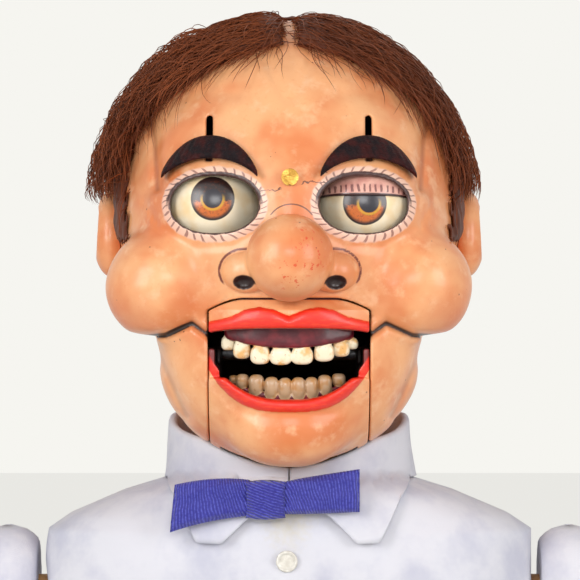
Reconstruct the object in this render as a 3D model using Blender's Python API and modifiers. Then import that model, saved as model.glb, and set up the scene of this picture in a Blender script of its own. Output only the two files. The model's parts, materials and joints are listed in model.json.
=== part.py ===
"""A seated ventriloquist dummy: carved head with its mechanism, body, clothes and jointed limbs.

The dummy faces -Y, its left side is +X, and the origin is under the middle of the seat board.
Every size is in metres.
"""

import math

import bmesh
import bpy
import numpy as np
from mathutils import Matrix, Vector

MM = 0.001
GAP = 0.3 * MM  # between pieces that touch
RUNNING = 0.5 * MM  # between pieces that slide or turn in one another
CLOTH = 1.4 * MM
SLIVER = 0.0005 * MM

# Head, whose own heights are counted from HEAD_Z
HEAD_Z = 440 * MM
SKULL_CENTRE = (0, 2 * MM, 36 * MM)
SKULL_RADII = (81 * MM, 90 * MM, 92 * MM)
FACE_CENTRE = (0, -34 * MM, 20 * MM)
FACE_RADII = (72 * MM, 52 * MM, 66 * MM)
JOWL_CENTRE = (0, -32 * MM, -30 * MM)
JOWL_RADII = (61 * MM, 56 * MM, 52 * MM)
CHIN_CENTRE = (0, -63 * MM, -62 * MM)
CHIN_RADII = (28 * MM, 22 * MM, 19 * MM)
CHEEK_CENTRE = (57 * MM, -55 * MM, 2 * MM)
CHEEK_RADII = (27 * MM, 27 * MM, 26 * MM)
BRIDGE_CENTRE = (0, -78 * MM, 34 * MM)
BRIDGE_RADII = (13 * MM, 14 * MM, 24 * MM)
HEAD_WALL = 5 * MM
HEAD_BOTTOM = -70 * MM
HEAD_MIDDLE = (0, 0, 15 * MM)  # where the head's surface is measured from
SEATED_ON = 1.006  # of the distance from the head's middle, for what sits on its surface
SEATED_IN = 0.992  # and for what fits inside its wall
NECK_Y = 8 * MM
NECK_SKIN_RADIUS = 38 * MM

# Eyes, lids and brows
EYE_X = 33.6 * MM
EYE_Y = -56 * MM
EYE_Z = 38.5 * MM
EYE_RADIUS = 24 * MM
LID_WALL = 0.8 * MM
LID_GAP = 0.5 * MM
LID_SPAN = math.radians(75)
LID_OPEN = math.radians(36)  # height of the lid's edge over the eye's centre when open
LID_LEFT_DROP = math.radians(23)  # the left lid is partly lowered
SOCKET_RADIUS = EYE_RADIUS + LID_WALL + 2 * LID_GAP
MOUND_RADIUS = SOCKET_RADIUS + 2.6 * MM
EYE_OPENING = (20 * MM, 12.9 * MM)
EYE_PIN_RADIUS = 2 * MM
LID_PIN_RADIUS = 1.5 * MM
BROW_X = 36 * MM
BROW_WIDTH = 44 * MM
BROW_BACK = 1.01  # of the distance from the head's middle to its surface
BROW_FRONT = 1.045
BROW_TOP = 70 * MM
BROW_TIP = 50 * MM
BROW_DEEP = 10.5 * MM
BROW_AXLE_Y = -26 * MM
BROW_AXLE_Z = 46 * MM
BROW_AXLE = (BROW_AXLE_Y, BROW_AXLE_Z)
BROW_WIRE_ROUTE = ((-29 * MM, 60 * MM), (-40 * MM, 71 * MM), (-58 * MM, 70 * MM), (-80 * MM, 65 * MM))
BROW_WIRE_RADIUS = 1.0 * MM
BROW_SLOT = (2.9 * MM, 17.5 * MM)
BROW_SLOT_TOP = 79.5 * MM
AXLE_RADIUS = 2 * MM

# Jaw, lip, teeth and nose
JAW_HALF_WIDTH = 36.4 * MM
JAW_WALL = 6 * MM
JAW_CHEEK_THICK = 5 * MM
JAW_PIVOT_Y = -14 * MM
JAW_PIVOT_Z = -30 * MM
JAW_PIVOT = (JAW_PIVOT_Y, JAW_PIVOT_Z)
JAW_AXLE_RADIUS = 3 * MM
JAW_EAR_RADIUS = 8 * MM
LOWER_LIP_Z = -46 * MM
MOUTH_CORNER_Z = -28.5 * MM
JAW_CLOSING_REACH = 60.3 * MM  # the jaw's corners stay this near the pivot, to close behind the upper lip
JAW_CORNER_LOW = -39 * MM
HEAD_JAW_TOP = 5 * MM  # above everything on the jaw
LIP_HALF_WIDTH = 35.4 * MM
LIP_TOP = -4.5 * MM
LIP_BOTTOM = -18.5 * MM
LIP_FRONT_Y = -92 * MM
LIP_THICK = 4.5 * MM
LIP_BOW = 12 * MM
GUM_HALF_WIDTH = 29.5 * MM
GUM_FRONT_Y = -79.5 * MM
ARCH_BOW = 9 * MM  # how far the ends of each row of teeth lie behind its middle
UPPER_TEETH = 8
UPPER_TOOTH_TIP = -34 * MM
UPPER_TEETH_Y = -78 * MM  # front of the upper teeth
UPPER_TEETH_DEEP = 4 * MM
LOWER_TEETH = 9
LOWER_TOOTH_TIP = -39.5 * MM
LOWER_TEETH_Y = -68.4 * MM  # front of the lower teeth, which close behind the upper ones
NOSE_CENTRE = (0.4 * MM, -93 * MM, 14.4 * MM)
NOSE_PIN_END = -64 * MM
NOSE_RADIUS = 19.6 * MM
NOSE_WING = (17.5 * MM, -82 * MM, 7 * MM)
NOSE_WING_RADII = (11.5 * MM, 11 * MM, 8.5 * MM)
NOSE_CLEAR = 1.012  # against the head's surface, about its middle
NOSE_PIN_RADIUS = 4 * MM

# Ears, door and wig
EAR_CENTRE = (85 * MM, 10 * MM, 27 * MM)
EAR_RADII = (9 * MM, 15 * MM, 21 * MM)
DOOR_HALF_WIDTH = 42 * MM
DOOR_BOTTOM = -12 * MM
DOOR_TOP = 74 * MM
WIG_THICK = 5 * MM
WIG_BOTTOM = -22 * MM
HAIRLINE_HALF_WIDTH = 68 * MM
HAIRLINE_TOP = 104 * MM
HAIRLINE_MIDDLE = 40 * MM

# Neck and control stick
NECK_BALL_Z = 350 * MM
NECK_BALL_RADIUS = 26 * MM
NECK_BALL_BOTTOM = 330 * MM
NECK_POST_RADIUS = 15 * MM
NECK_RING_RADIUS = 44 * MM
STICK_SIDE = 20 * MM
STICK_BOTTOM = 182 * MM
LEVER_TOP_Z = 268 * MM
LEVER_STEP = 24 * MM
LEVER_LONG = 34 * MM
LEVER_THICK = 4 * MM
LEVER_WIDE = 9 * MM
LEVER_PIN_RADIUS = 2 * MM

# Body: (height, half width, half depth) of the bare body, from the seat up
SEAT_THICK = 12 * MM
BOARD_BOTTOM = 284 * MM
BOARD_TOP = 340 * MM
BODY_LEVELS = (
    (0, 84, 50),
    (60, 90, 53),
    (150, 91, 53),
    (230, 102, 56),
    (284, 111, 57),
    (312, 112.5, 55),
    (327, 112, 52),
    (334, 102, 50),
    (345, 76, 48.5),
    (352, 53, 47),
)
BODY_SQUARENESS = 2.5
BODY_WALL = 4 * MM
SHIRT_GAP = 0.9 * MM
SHIRT_BOTTOM = 20 * MM
REAR_OPENING_HALF_WIDTH = 58 * MM
REAR_OPENING = (45 * MM, 268 * MM)
NECK_HOLE_RADIUS = 34 * MM
COLLAR_RADIUS = 52.6 * MM
COLLAR_WALL = 4.4 * MM
COLLAR_TOPS = ((0, 356), (14, 357), (30, 361), (45, 366.5), (65, 369), (95, 379), (180, 381))
TROUSER_TOP = 98 * MM
TROUSER_GAP = 0.8 * MM
TIE_Z = 343.5 * MM
TIE_Y = -56.2 * MM
TIE_KNOT_X = -10.5 * MM
TIE_KNOT = (17.5 * MM, 10 * MM, 17.5 * MM)
TIE_LOOP_LONG = 34 * MM
TIE_LOOP_TALL = 23 * MM
TIE_LOOP_THICK = 9 * MM

# Limbs
SHOULDER_X = 118 * MM  # plane between shirt and sleeve
SHOULDER_Z = 300 * MM
SHOULDER_CAP = (50 * MM, 29 * MM)  # how far out the sleeve head reaches, and its radius
SHOULDER_PIN_RADIUS = 5 * MM
ARM_X = 141 * MM
UPPER_ARM = 112 * MM
FOREARM = 94 * MM
UPPER_ARM_RADIUS = 20 * MM
FOREARM_RADII = (17 * MM, 11.5 * MM)
HAND_LONG = 60 * MM
HIP_X = 48 * MM
HIP_Y = -74 * MM
LEG_Z = 28 * MM
THIGH = 172 * MM
SHIN = 158 * MM
THIGH_RADIUS = 23 * MM
FORK_HALF = 17 * MM
FORK_CLEAR = 19 * MM  # from a pin to the round part of its limb piece
SHIN_RADII = (20 * MM, 15 * MM)
TONGUE_THICK = 10 * MM
TONGUE_RADIUS = 13 * MM
PIN_RADIUS = 3 * MM
SLEEVE_GAP = 0.6 * MM
SHOE_TALL = 100 * MM
SHOE_WIDE = 42 * MM
SHOE_DEEP = 36 * MM
SHOE_CENTRE_Z = 50.5 * MM

SKIN = ((0.93, 0.55, 0.30), 0.35, 0.0)
WOOD = ((0.55, 0.34, 0.17), 0.6, 0.0)
BRASS = ((0.72, 0.53, 0.22), 0.35, 1.0)
STEEL = ((0.55, 0.56, 0.58), 0.3, 1.0)
TOOTH = ((0.92, 0.82, 0.62), 0.25, 0.0)
HAIR = ((0.14, 0.035, 0.012), 0.6, 0.0)
BROW = ((0.022, 0.008, 0.006), 0.2, 0.0)
EYE = ((0.93, 0.83, 0.66), 0.12, 0.0)
SHIRT = ((0.74, 0.73, 0.77), 0.85, 0.0)
TIE = ((0.06, 0.06, 0.36), 0.6, 0.0)
TROUSERS = ((0.035, 0.035, 0.04), 0.9, 0.0)
SHOE = ((0.02, 0.018, 0.018), 0.2, 0.0)


# ---------------------------------------------------------------- scene and materials


def clear_scene():
    for obj in list(bpy.data.objects):
        bpy.data.objects.remove(obj, do_unlink=True)


def new_collection(name):
    made = bpy.data.collections.new(name)
    bpy.context.scene.collection.children.link(made)
    return made


def finish(obj, name, look, pivot=(0, 0, 0), parent=None):
    """Names a piece, gives it its own material, and puts its origin at its pivot."""
    colour, roughness, metallic = look
    material = bpy.data.materials.new(name)
    material.use_nodes = True
    surface = material.node_tree.nodes["Principled BSDF"]
    surface.inputs["Base Color"].default_value = (*colour, 1)
    surface.inputs["Roughness"].default_value = roughness
    surface.inputs["Metallic"].default_value = metallic
    obj.data.materials.clear()
    obj.data.materials.append(material)
    obj.data.transform(Matrix.Translation(-Vector(pivot)))
    obj.location = Vector(pivot)
    obj.name = name
    obj.data.name = name
    PARTS.objects.link(obj)
    return obj


def loose(mesh_maker):
    """A new object, in no collection yet, whose mesh comes from a function that fills a bmesh."""
    built = bmesh.new()
    mesh_maker(built)
    bmesh.ops.recalc_face_normals(built, faces=built.faces)
    mesh = bpy.data.meshes.new("piece")
    built.to_mesh(mesh)
    built.free()
    return bpy.data.objects.new("piece", mesh)


# ---------------------------------------------------------------- shapes

# A small turn keeps a ball's rows of points off the planes that cut it.
OFF_AXIS = Matrix.Rotation(0.06, 4, "Z") @ Matrix.Rotation(0.035, 4, "X")


def box(low, high):
    size = Vector(high) - Vector(low)
    middle = (Vector(high) + Vector(low)) / 2

    def make(built):
        place = Matrix.Translation(middle) @ Matrix.Diagonal((*size, 1))
        bmesh.ops.create_cube(built, size=1, matrix=place)

    return loose(make)


def ball(centre, radii, segments=18, rings=12, turn=None):
    turn = turn or Matrix.Identity(4)
    place = Matrix.Translation(centre) @ turn @ Matrix.Diagonal((*radii, 1)) @ OFF_AXIS

    def make(built):
        bmesh.ops.create_uvsphere(built, u_segments=segments, v_segments=rings, radius=1, matrix=place)

    return loose(make)


def rod(start, end, radius, end_radius=None, segments=16):
    """A cylinder or cone between two points."""
    start, end = Vector(start), Vector(end)
    along = end - start
    turn = along.to_track_quat("Z", "Y").to_matrix().to_4x4()
    place = Matrix.Translation((start + end) / 2) @ turn

    def make(built):
        bmesh.ops.create_cone(
            built,
            cap_ends=True,
            segments=segments,
            radius1=radius,
            radius2=radius if end_radius is None else end_radius,
            depth=along.length,
            matrix=place,
        )

    return loose(make)


def turned(profile, segments=16):
    """A solid of revolution about Z; the profile (radius, height) runs from top to bottom."""
    mesh = bpy.data.meshes.new("turned")
    edges = [(i, i + 1) for i in range(len(profile) - 1)]
    mesh.from_pydata([(radius, 0, z) for radius, z in profile], edges, [])
    obj = bpy.data.objects.new("turned", mesh)
    bpy.context.scene.collection.objects.link(obj)
    spin = obj.modifiers.new("spin", "SCREW")
    spin.steps = spin.render_steps = segments
    spin.use_merge_vertices = True
    spin.merge_threshold = 0.01 * MM
    graph = bpy.context.evaluated_depsgraph_get()
    solid = bpy.data.meshes.new_from_object(obj.evaluated_get(graph))
    bpy.data.objects.remove(obj)
    built = bmesh.new()
    built.from_mesh(solid)
    bmesh.ops.remove_doubles(built, verts=built.verts, dist=SLIVER)
    bmesh.ops.recalc_face_normals(built, faces=built.faces)
    built.to_mesh(solid)
    built.free()
    return bpy.data.objects.new("turned", solid)


def loft(rings):
    """A closed solid through rings of equally many points."""

    def make(built):
        rows = [[built.verts.new(point) for point in ring] for ring in rings]
        count = len(rows[0])
        for lower, upper in zip(rows, rows[1:]):
            for i in range(count):
                j = (i + 1) % count
                built.faces.new((lower[i], lower[j], upper[j], upper[i]))
        built.faces.new(rows[0][::-1])
        built.faces.new(rows[-1])

    return loose(make)


def outline_prism(points, low_y, high_y):
    """A flat outline in X and Z, thick along Y."""
    return loft([[(x, y, z) for x, z in points] for y in (low_y, high_y)])


def wire(points, radius):
    """A bent wire as a mesh."""
    curve = bpy.data.curves.new("wire", "CURVE")
    curve.dimensions = "3D"
    curve.bevel_depth = radius
    curve.bevel_resolution = 1
    curve.resolution_u = 3
    curve.use_fill_caps = True
    spline = curve.splines.new("BEZIER")
    spline.bezier_points.add(len(points) - 1)
    for bend, point in zip(spline.bezier_points, points):
        bend.co = point
        bend.handle_left_type = bend.handle_right_type = "AUTO"
    path = bpy.data.objects.new("wire", curve)
    mesh = bpy.data.meshes.new_from_object(path)
    bpy.data.objects.remove(path)
    built = bmesh.new()
    built.from_mesh(mesh)
    bmesh.ops.remove_doubles(built, verts=built.verts, dist=1e-6)
    bmesh.ops.recalc_face_normals(built, faces=built.faces)
    built.to_mesh(mesh)
    built.free()
    return bpy.data.objects.new("wire", mesh)


def gathered(tools):
    """One loose object that holds copies of every tool's mesh."""
    built = bmesh.new()
    for tool in tools:
        built.from_mesh(tool.data)
    mesh = bpy.data.meshes.new("tools")
    built.to_mesh(mesh)
    built.free()
    return bpy.data.objects.new("tools", mesh)


def boolean(part, tools, operation, keep_tool=False):
    """The part after one exact Boolean with all the tools together, which are then dropped."""
    holder = bpy.context.scene.collection
    tool = gathered(tools)
    for obj in (part, tool):
        holder.objects.link(obj)
    step = part.modifiers.new("shape", "BOOLEAN")
    step.operation = operation
    step.solver = "EXACT"
    step.use_self = len(tools) > 1
    step.object = tool
    graph = bpy.context.evaluated_depsgraph_get()
    mesh = bpy.data.meshes.new_from_object(part.evaluated_get(graph))
    part.modifiers.clear()
    part.data = mesh
    holder.objects.unlink(part)
    bpy.data.objects.remove(tool)
    if not keep_tool:
        for used in tools:
            bpy.data.objects.remove(used)
    return part


def cut(part, *tools, keep_tool=False):
    return boolean(part, tools, "DIFFERENCE", keep_tool)


def join(part, *tools):
    return boolean(part, tools, "UNION")


def within(part, tool, keep_tool=False):
    return boolean(part, [tool], "INTERSECT", keep_tool)


def moved(obj, matrix):
    obj.data.transform(matrix)
    return obj


# ---------------------------------------------------------------- the carved form of the head


def ellipsoid_depth(points, centre, radii):
    offset = points - np.array(centre)
    radii = np.array(radii)
    near = np.linalg.norm(offset / radii, axis=1)
    slope = np.linalg.norm(offset / radii**2, axis=1)
    return near * (near - 1) / np.maximum(slope, 1e-9)


def blend(a, b, width):
    share = np.clip(0.5 + 0.5 * (b - a) / width, 0, 1)
    return b * (1 - share) + a * share - width * share * (1 - share)


def head_depth(points, neck=True):
    """How far outside the carved head each point lies, with heights from HEAD_Z; below 0 is inside."""
    side = points * 1.0
    side[:, 0] = np.abs(side[:, 0])
    depth = ellipsoid_depth(side, SKULL_CENTRE, SKULL_RADII)
    depth = blend(depth, ellipsoid_depth(side, FACE_CENTRE, FACE_RADII), 12 * MM)
    depth = blend(depth, ellipsoid_depth(side, JOWL_CENTRE, JOWL_RADII), 14 * MM)
    depth = blend(depth, ellipsoid_depth(side, CHIN_CENTRE, CHIN_RADII), 8 * MM)
    depth = blend(depth, ellipsoid_depth(side, CHEEK_CENTRE, CHEEK_RADII), 7 * MM)
    mound = np.linalg.norm(side - np.array((EYE_X, EYE_Y, EYE_Z)), axis=1) - MOUND_RADIUS
    depth = blend(depth, mound, 5 * MM)
    depth = blend(depth, ellipsoid_depth(side, BRIDGE_CENTRE, BRIDGE_RADII), 8 * MM)
    if neck:
        radial = np.hypot(side[:, 0], side[:, 1] - NECK_Y) - NECK_SKIN_RADIUS
        upright = np.maximum(2 * HEAD_BOTTOM - side[:, 2], side[:, 2] - HEAD_BOTTOM / 3)
        depth = blend(depth, np.maximum(radial, upright), 10 * MM)
    return depth


def head_form(level, segments=64, rings=44, neck=True):
    """A closed mesh that lies `level` outside the carved head."""
    form = loose(
        lambda built: bmesh.ops.create_uvsphere(built, u_segments=segments, v_segments=rings, radius=1)
    )
    count = len(form.data.vertices)
    rays = np.empty(count * 3)
    form.data.vertices.foreach_get("co", rays)
    rays = rays.reshape(-1, 3)
    middle = np.array(HEAD_MIDDLE)
    far = np.full(count, 0.2)
    step = 2 * MM
    for _ in range(90):
        outside = head_depth(middle + rays * far[:, None], neck) > level
        far = np.where(outside, far - step, far)
    near, far = far, far + step
    for _ in range(20):
        half = (near + far) / 2
        outside = head_depth(middle + rays * half[:, None], neck) > level
        far = np.where(outside, half, far)
        near = np.where(outside, near, half)
    points = middle + rays * near[:, None] + np.array((0, 0, HEAD_Z))
    form.data.vertices.foreach_set("co", points.ravel())
    built = bmesh.new()
    built.from_mesh(form.data)
    bmesh.ops.triangulate(built, faces=built.faces)
    built.to_mesh(form.data)
    built.free()
    return form


def scaled(form, factor):
    """A copy of a head form scaled a little about the middle of the head, so it never crosses the form."""
    middle = Vector((HEAD_MIDDLE[0], HEAD_MIDDLE[1], HEAD_Z + HEAD_MIDDLE[2]))
    copy = bpy.data.objects.new("form", form.data.copy())
    scaling = Matrix.Diagonal((factor, factor, factor, 1))
    return moved(copy, Matrix.Translation(middle) @ scaling @ Matrix.Translation(-middle))


def at_head(x, y, z):
    return (x, y, HEAD_Z + z)


def head_box(x, y, z):
    """A box from three (low, high) pairs, with its heights from HEAD_Z."""
    return box(at_head(x[0], y[0], z[0]), at_head(x[1], y[1], z[1]))


# ---------------------------------------------------------------- head pieces


def eye_centre(side):
    return at_head(side * EYE_X, EYE_Y, EYE_Z)


def almond(side):
    points = []
    for i in range(28):
        turn = 2 * math.pi * (i + 0.37) / 28
        x = side * EYE_X + EYE_OPENING[0] * math.cos(turn)
        points.append((x, HEAD_Z + EYE_Z + EYE_OPENING[1] * math.sin(turn)))
    return outline_prism(points, -0.11, EYE_Y - 4 * MM)


def nose_form():
    nose = ball(at_head(*NOSE_CENTRE), (NOSE_RADIUS,) * 3)
    for side in (-1, 1):
        wing = ball(at_head(side * NOSE_WING[0], *NOSE_WING[1:]), NOSE_WING_RADII, 14, 9)
        join(nose, wing)
    return nose


def nose_pin(radius):
    x, y, z = NOSE_CENTRE
    return rod(at_head(x, y, z), at_head(x, NOSE_PIN_END, z), radius)


def door_block(clearance):
    half = DOOR_HALF_WIDTH - clearance
    return head_box((-half, half), (30 * MM, 0.12), (DOOR_BOTTOM + clearance, DOOR_TOP - clearance))


def brow_slot(side):
    half = BROW_SLOT[0] / 2
    across = (side * BROW_X - half, side * BROW_X + half)
    return head_box(across, (-0.1, -50 * MM), (BROW_SLOT_TOP - BROW_SLOT[1], BROW_SLOT_TOP))


def build_head_shell(form, cavity):
    slot = JAW_HALF_WIDTH + RUNNING
    tools = [
        cavity,
        head_box((-slot, slot), (-0.12, JAW_PIVOT_Y + JAW_EAR_RADIUS + RUNNING), (-0.12, -1 * MM)),
        head_box((-0.1, 0.1), (-0.13, 0.13), (-0.17, HEAD_BOTTOM)),
        nose_pin(NOSE_PIN_RADIUS + RUNNING),
        door_block(0),
    ]
    for side in (-1, 1):
        tools.append(ball(eye_centre(side), (SOCKET_RADIUS,) * 3, 24, 15))
        tools.append(almond(side))
        tools.append(brow_slot(side))
    return finish(cut(form, *tools), "head_shell", SKIN, at_head(0, 0, 0))


def build_rear_door(surface, fit):
    door = scaled(surface, 1)
    cut(door, fit, keep_tool=True)
    within(door, door_block(2 * GAP))
    return finish(door, "rear_door", SKIN, at_head(0, 80 * MM, 30 * MM))


def ear_form(side, grow):
    turn = Matrix.Rotation(side * math.radians(14), 4, "Y")
    radii = [radius + grow for radius in EAR_RADII]
    return ball(at_head(side * EAR_CENTRE[0], *EAR_CENTRE[1:]), radii, 16, 10, turn)


def build_ear(side, name, skin):
    ear = cut(ear_form(side, 0), skin, keep_tool=True)
    hollow = at_head(side * (EAR_CENTRE[0] + 11 * MM), EAR_CENTRE[1] - 3 * MM, EAR_CENTRE[2] + 2 * MM)
    cut(ear, ball(hollow, (6 * MM, 8 * MM, 11 * MM), 12, 8))
    return finish(ear, name, SKIN, at_head(side * EAR_CENTRE[0], *EAR_CENTRE[1:]))


def build_wig(skin):
    """A cap over the top, sides and back, open round the face and clear of the ears."""
    points = []
    for i in range(17):
        turn = math.pi * i / 16
        z = HAIRLINE_MIDDLE + (HAIRLINE_TOP - HAIRLINE_MIDDLE) * math.sin(turn)
        points.append((HAIRLINE_HALF_WIDTH * math.cos(turn), HEAD_Z + z))
    points.append((-HAIRLINE_HALF_WIDTH - 4 * MM, HEAD_Z - 60 * MM))
    points.append((HAIRLINE_HALF_WIDTH + 4 * MM, HEAD_Z - 60 * MM))
    tools = [
        outline_prism(points, -0.13, 2 * MM),
        head_box((-0.13, 0.13), (-0.14, 0.13), (-0.2, WIG_BOTTOM)),
        head_box((-0.12, 0.12), (-0.13, -2 * MM), (-0.1, 36 * MM)),
    ]
    for side in (-1, 1):
        tools.append(ear_form(side, 0.8 * MM))
        edges = sorted((side * 60 * MM, side * 0.12))
        tools.append(head_box(edges, (-11 * MM, 27 * MM), (-60 * MM, 26 * MM)))
    wig = cut(head_form(WIG_THICK, 24, 16), *tools)
    cut(wig, skin, keep_tool=True)
    return finish(wig, "wig", HAIR, at_head(*SKULL_CENTRE))


def build_eyeball(side, name):
    centre = Vector(eye_centre(side))
    eye = ball(centre, (EYE_RADIUS,) * 3, 20, 12)
    cut(eye, box(centre + Vector((-0.03, 14 * MM, -0.03)), centre + Vector((0.03, 0.03, 0.03))))
    foot = centre - Vector((0, 0, EYE_RADIUS + 8 * MM))
    join(eye, rod(centre, foot, EYE_PIN_RADIUS, segments=16))
    return finish(eye, name, EYE, centre)


def lid_form(side, edge):
    """A lune of thin shell round the eye, from its lower edge's height up and over."""
    centre = Vector(eye_centre(side))
    inner = EYE_RADIUS + LID_GAP
    outer = inner + LID_WALL
    tools = [ball(centre, (inner,) * 3, 20, 13)]
    for angle in (edge, edge + LID_SPAN + math.pi):
        block = box((-0.04, -0.04, -0.08), (0.04, 0.04, 0))
        place = Matrix.Translation(centre) @ Matrix.Rotation(-angle, 4, "X")
        tools.append(moved(block, place))
    lid = cut(ball(centre, (outer,) * 3, 20, 13), *tools)
    return lid


def build_lid(side, name, edge):
    centre = Vector(eye_centre(side))
    lid = lid_form(side, edge)
    pole = centre - Vector((side * (EYE_RADIUS + LID_GAP / 2 + 0.3 * MM), 0, 0))
    stub = pole - Vector((side * 4.2 * MM, 0, 0))
    ear = rod(pole, pole - Vector((side * 0.9 * MM, 0, 0)), 5 * MM, segments=20)
    join(lid, ear, rod(pole, stub, LID_PIN_RADIUS, segments=14))
    return finish(lid, name, SKIN, centre)


def build_eye_frame(fit):
    """A wooden bar across the head, with arms that carry the eyes' feet and the lids' pins."""
    frame = head_box((-0.09, 0.09), (-24 * MM, -14 * MM), (5 * MM, 13 * MM))
    within(frame, fit, keep_tool=True)
    reach = EYE_X - EYE_RADIUS - LID_GAP - LID_WALL - 1.6 * MM
    post = head_box((-4.2 * MM, 4.2 * MM), (-22 * MM, -15 * MM), (8 * MM, EYE_Z + 5 * MM))
    arm = head_box((-4 * MM, 4 * MM), (EYE_Y - 2 * MM, -17 * MM), (EYE_Z - 5 * MM, EYE_Z + 5 * MM))
    join(frame, post, arm)
    join(frame, rod(at_head(-reach, EYE_Y, EYE_Z), at_head(reach, EYE_Y, EYE_Z), 5 * MM))
    ends = at_head(-0.02, EYE_Y, EYE_Z), at_head(0.02, EYE_Y, EYE_Z)
    cut(frame, rod(*ends, LID_PIN_RADIUS + GAP, segments=14))
    for side in (-1, 1):
        x = side * EYE_X
        top = EYE_Z - EYE_RADIUS - 2 * MM
        join(frame, head_box((x - 5 * MM, x + 5 * MM), (EYE_Y, -18 * MM), (top - 5.8 * MM, top - 0.2 * MM)))
        join(frame, rod(at_head(x, EYE_Y, top - 6 * MM), at_head(x, EYE_Y, top), 5 * MM))
        ends = at_head(x, EYE_Y, top - 8 * MM), at_head(x, EYE_Y, top + 2 * MM)
        cut(frame, rod(*ends, EYE_PIN_RADIUS + GAP, segments=16))
    return finish(frame, "eye_frame", WOOD, at_head(0, -22 * MM, 9 * MM))


def brow_outline(side):
    """A crescent: high in the middle, thin at both tips."""
    upper, lower = [], []
    for i in range(13):
        across = -1 + i / 6
        arch = 1 - across**2
        x = side * BROW_X + across * BROW_WIDTH / 2
        top = BROW_TIP + (BROW_TOP - BROW_TIP) * arch**0.8
        deep = 1.5 * MM + BROW_DEEP * arch**0.6
        upper.append((x, HEAD_Z + top))
        lower.append((x, HEAD_Z + top - deep))
    return lower + upper[::-1]


def build_brow(side, name, surface):
    """The crescent in front of the forehead, with its wire through the slot to a bush on the axle."""
    brow = outline_prism(brow_outline(side), -0.12, -50 * MM)
    within(brow, scaled(surface, BROW_FRONT))
    cut(brow, scaled(surface, BROW_BACK))
    x = side * BROW_X
    route = (BROW_AXLE_Y, BROW_AXLE_Z), *BROW_WIRE_ROUTE
    join(brow, wire([at_head(x, y, z) for y, z in route], BROW_WIRE_RADIUS))
    bush = rod(at_head(x - 4 * MM, *BROW_AXLE), at_head(x + 4 * MM, *BROW_AXLE), 4.5 * MM)
    join(brow, bush)
    bore = rod(at_head(x - 9 * MM, *BROW_AXLE), at_head(x + 9 * MM, *BROW_AXLE), AXLE_RADIUS + GAP)
    cut(brow, bore)
    return finish(brow, name, BROW, at_head(x, BROW_AXLE_Y, BROW_AXLE_Z))


def build_cross_axle(name, y, z, radius, fit):
    axle = rod(at_head(-0.1, y, z), at_head(0.1, y, z), radius)
    within(axle, fit, keep_tool=True)
    return finish(axle, name, STEEL, at_head(0, y, z))


def build_brow_screw(skin):
    centre = Vector(at_head(0.4 * MM, -92 * MM, 50.4 * MM))
    screw = rod(centre, centre + Vector((0, 30 * MM, 0)), 3.9 * MM)
    cut(screw, skin, keep_tool=True)
    corners = Vector((-0.5 * MM, -1 * MM, -6 * MM)), Vector((0.5 * MM, 0.8 * MM, 6 * MM))
    slot = box(centre + corners[0], centre + corners[1])
    cut(screw, slot)
    return finish(screw, "brow_screw", BRASS, centre)


def jaw_side_outline():
    return (
        (JAW_PIVOT_Y + 4 * MM, JAW_PIVOT_Z + 6 * MM),
        (-60 * MM, -27 * MM),
        (-0.1, -27 * MM),
        (-0.1, -84 * MM),
        (-48 * MM, -84 * MM),
        (JAW_PIVOT_Y + 2 * MM, JAW_PIVOT_Z - 7.5 * MM),
    )


def jaw_mouth():
    """The opening above the lower lip, as a prism along Y."""
    inside = JAW_HALF_WIDTH - JAW_CHEEK_THICK
    outline = []
    for i in range(17):
        across = -1 + i / 8
        z = LOWER_LIP_Z + (MOUTH_CORNER_Z - LOWER_LIP_Z) * abs(across) ** 2.4
        outline.append((across * (inside + 2 * MM), HEAD_Z + z))
    outline += [(inside + 2 * MM, HEAD_Z + 5 * MM), (-inside - 2 * MM, HEAD_Z + 5 * MM)]
    return outline_prism(outline, -0.13, -44 * MM)


def jaw_corner_relief():
    """What lies too far from the pivot, above the lower lip's corners, to close behind the upper lip."""
    outline = [(-0.1, HEAD_JAW_TOP), (-0.1, JAW_CORNER_LOW)]
    low = math.asin((JAW_CORNER_LOW - JAW_PIVOT_Z) / JAW_CLOSING_REACH)
    for i in range(7):
        angle = low + i * math.radians(5)
        forward = JAW_CLOSING_REACH * math.cos(angle)
        outline.append((JAW_PIVOT_Y - forward, JAW_PIVOT_Z + JAW_CLOSING_REACH * math.sin(angle)))
    outline.append((JAW_PIVOT_Y - forward, HEAD_JAW_TOP))
    return loft([[at_head(x, y, z) for y, z in outline] for x in (-0.05, 0.05)])


def jaw_hollow():
    return head_form(-JAW_WALL, 30, 21, neck=False)


def build_jaw():
    """A trough that fills the slot in the face, with cheeks that run back to the axle."""
    edges = (-JAW_HALF_WIDTH, JAW_HALF_WIDTH)
    jaw = loft([[at_head(x, y, z) for y, z in jaw_side_outline()] for x in edges])
    within(jaw, head_form(-GAP, 44, 31, neck=False))
    inside = JAW_HALF_WIDTH - JAW_CHEEK_THICK
    hollow = jaw_hollow()
    within(hollow, head_box((-inside, inside), (-0.13, 0.1), (-0.12, 0.02)))
    behind = head_box((-inside, inside), (-46 * MM, 0.05), (-0.13, 0.03))
    cut(jaw, hollow)
    cut(jaw, behind)
    cut(jaw, jaw_mouth())
    cut(jaw, jaw_corner_relief())
    for side in (-1, 1):
        ends = (side * (JAW_HALF_WIDTH - 0.4 * MM), side * (inside + 0.4 * MM))
        ear = rod(at_head(ends[0], *JAW_PIVOT), at_head(ends[1], *JAW_PIVOT), JAW_EAR_RADIUS)
        join(jaw, ear)
    reach = JAW_HALF_WIDTH + 10 * MM
    cut(jaw, rod(at_head(-reach, *JAW_PIVOT), at_head(reach, *JAW_PIVOT), JAW_AXLE_RADIUS + GAP))
    return finish(jaw, "jaw", SKIN, at_head(0, JAW_PIVOT_Y, JAW_PIVOT_Z))


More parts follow.
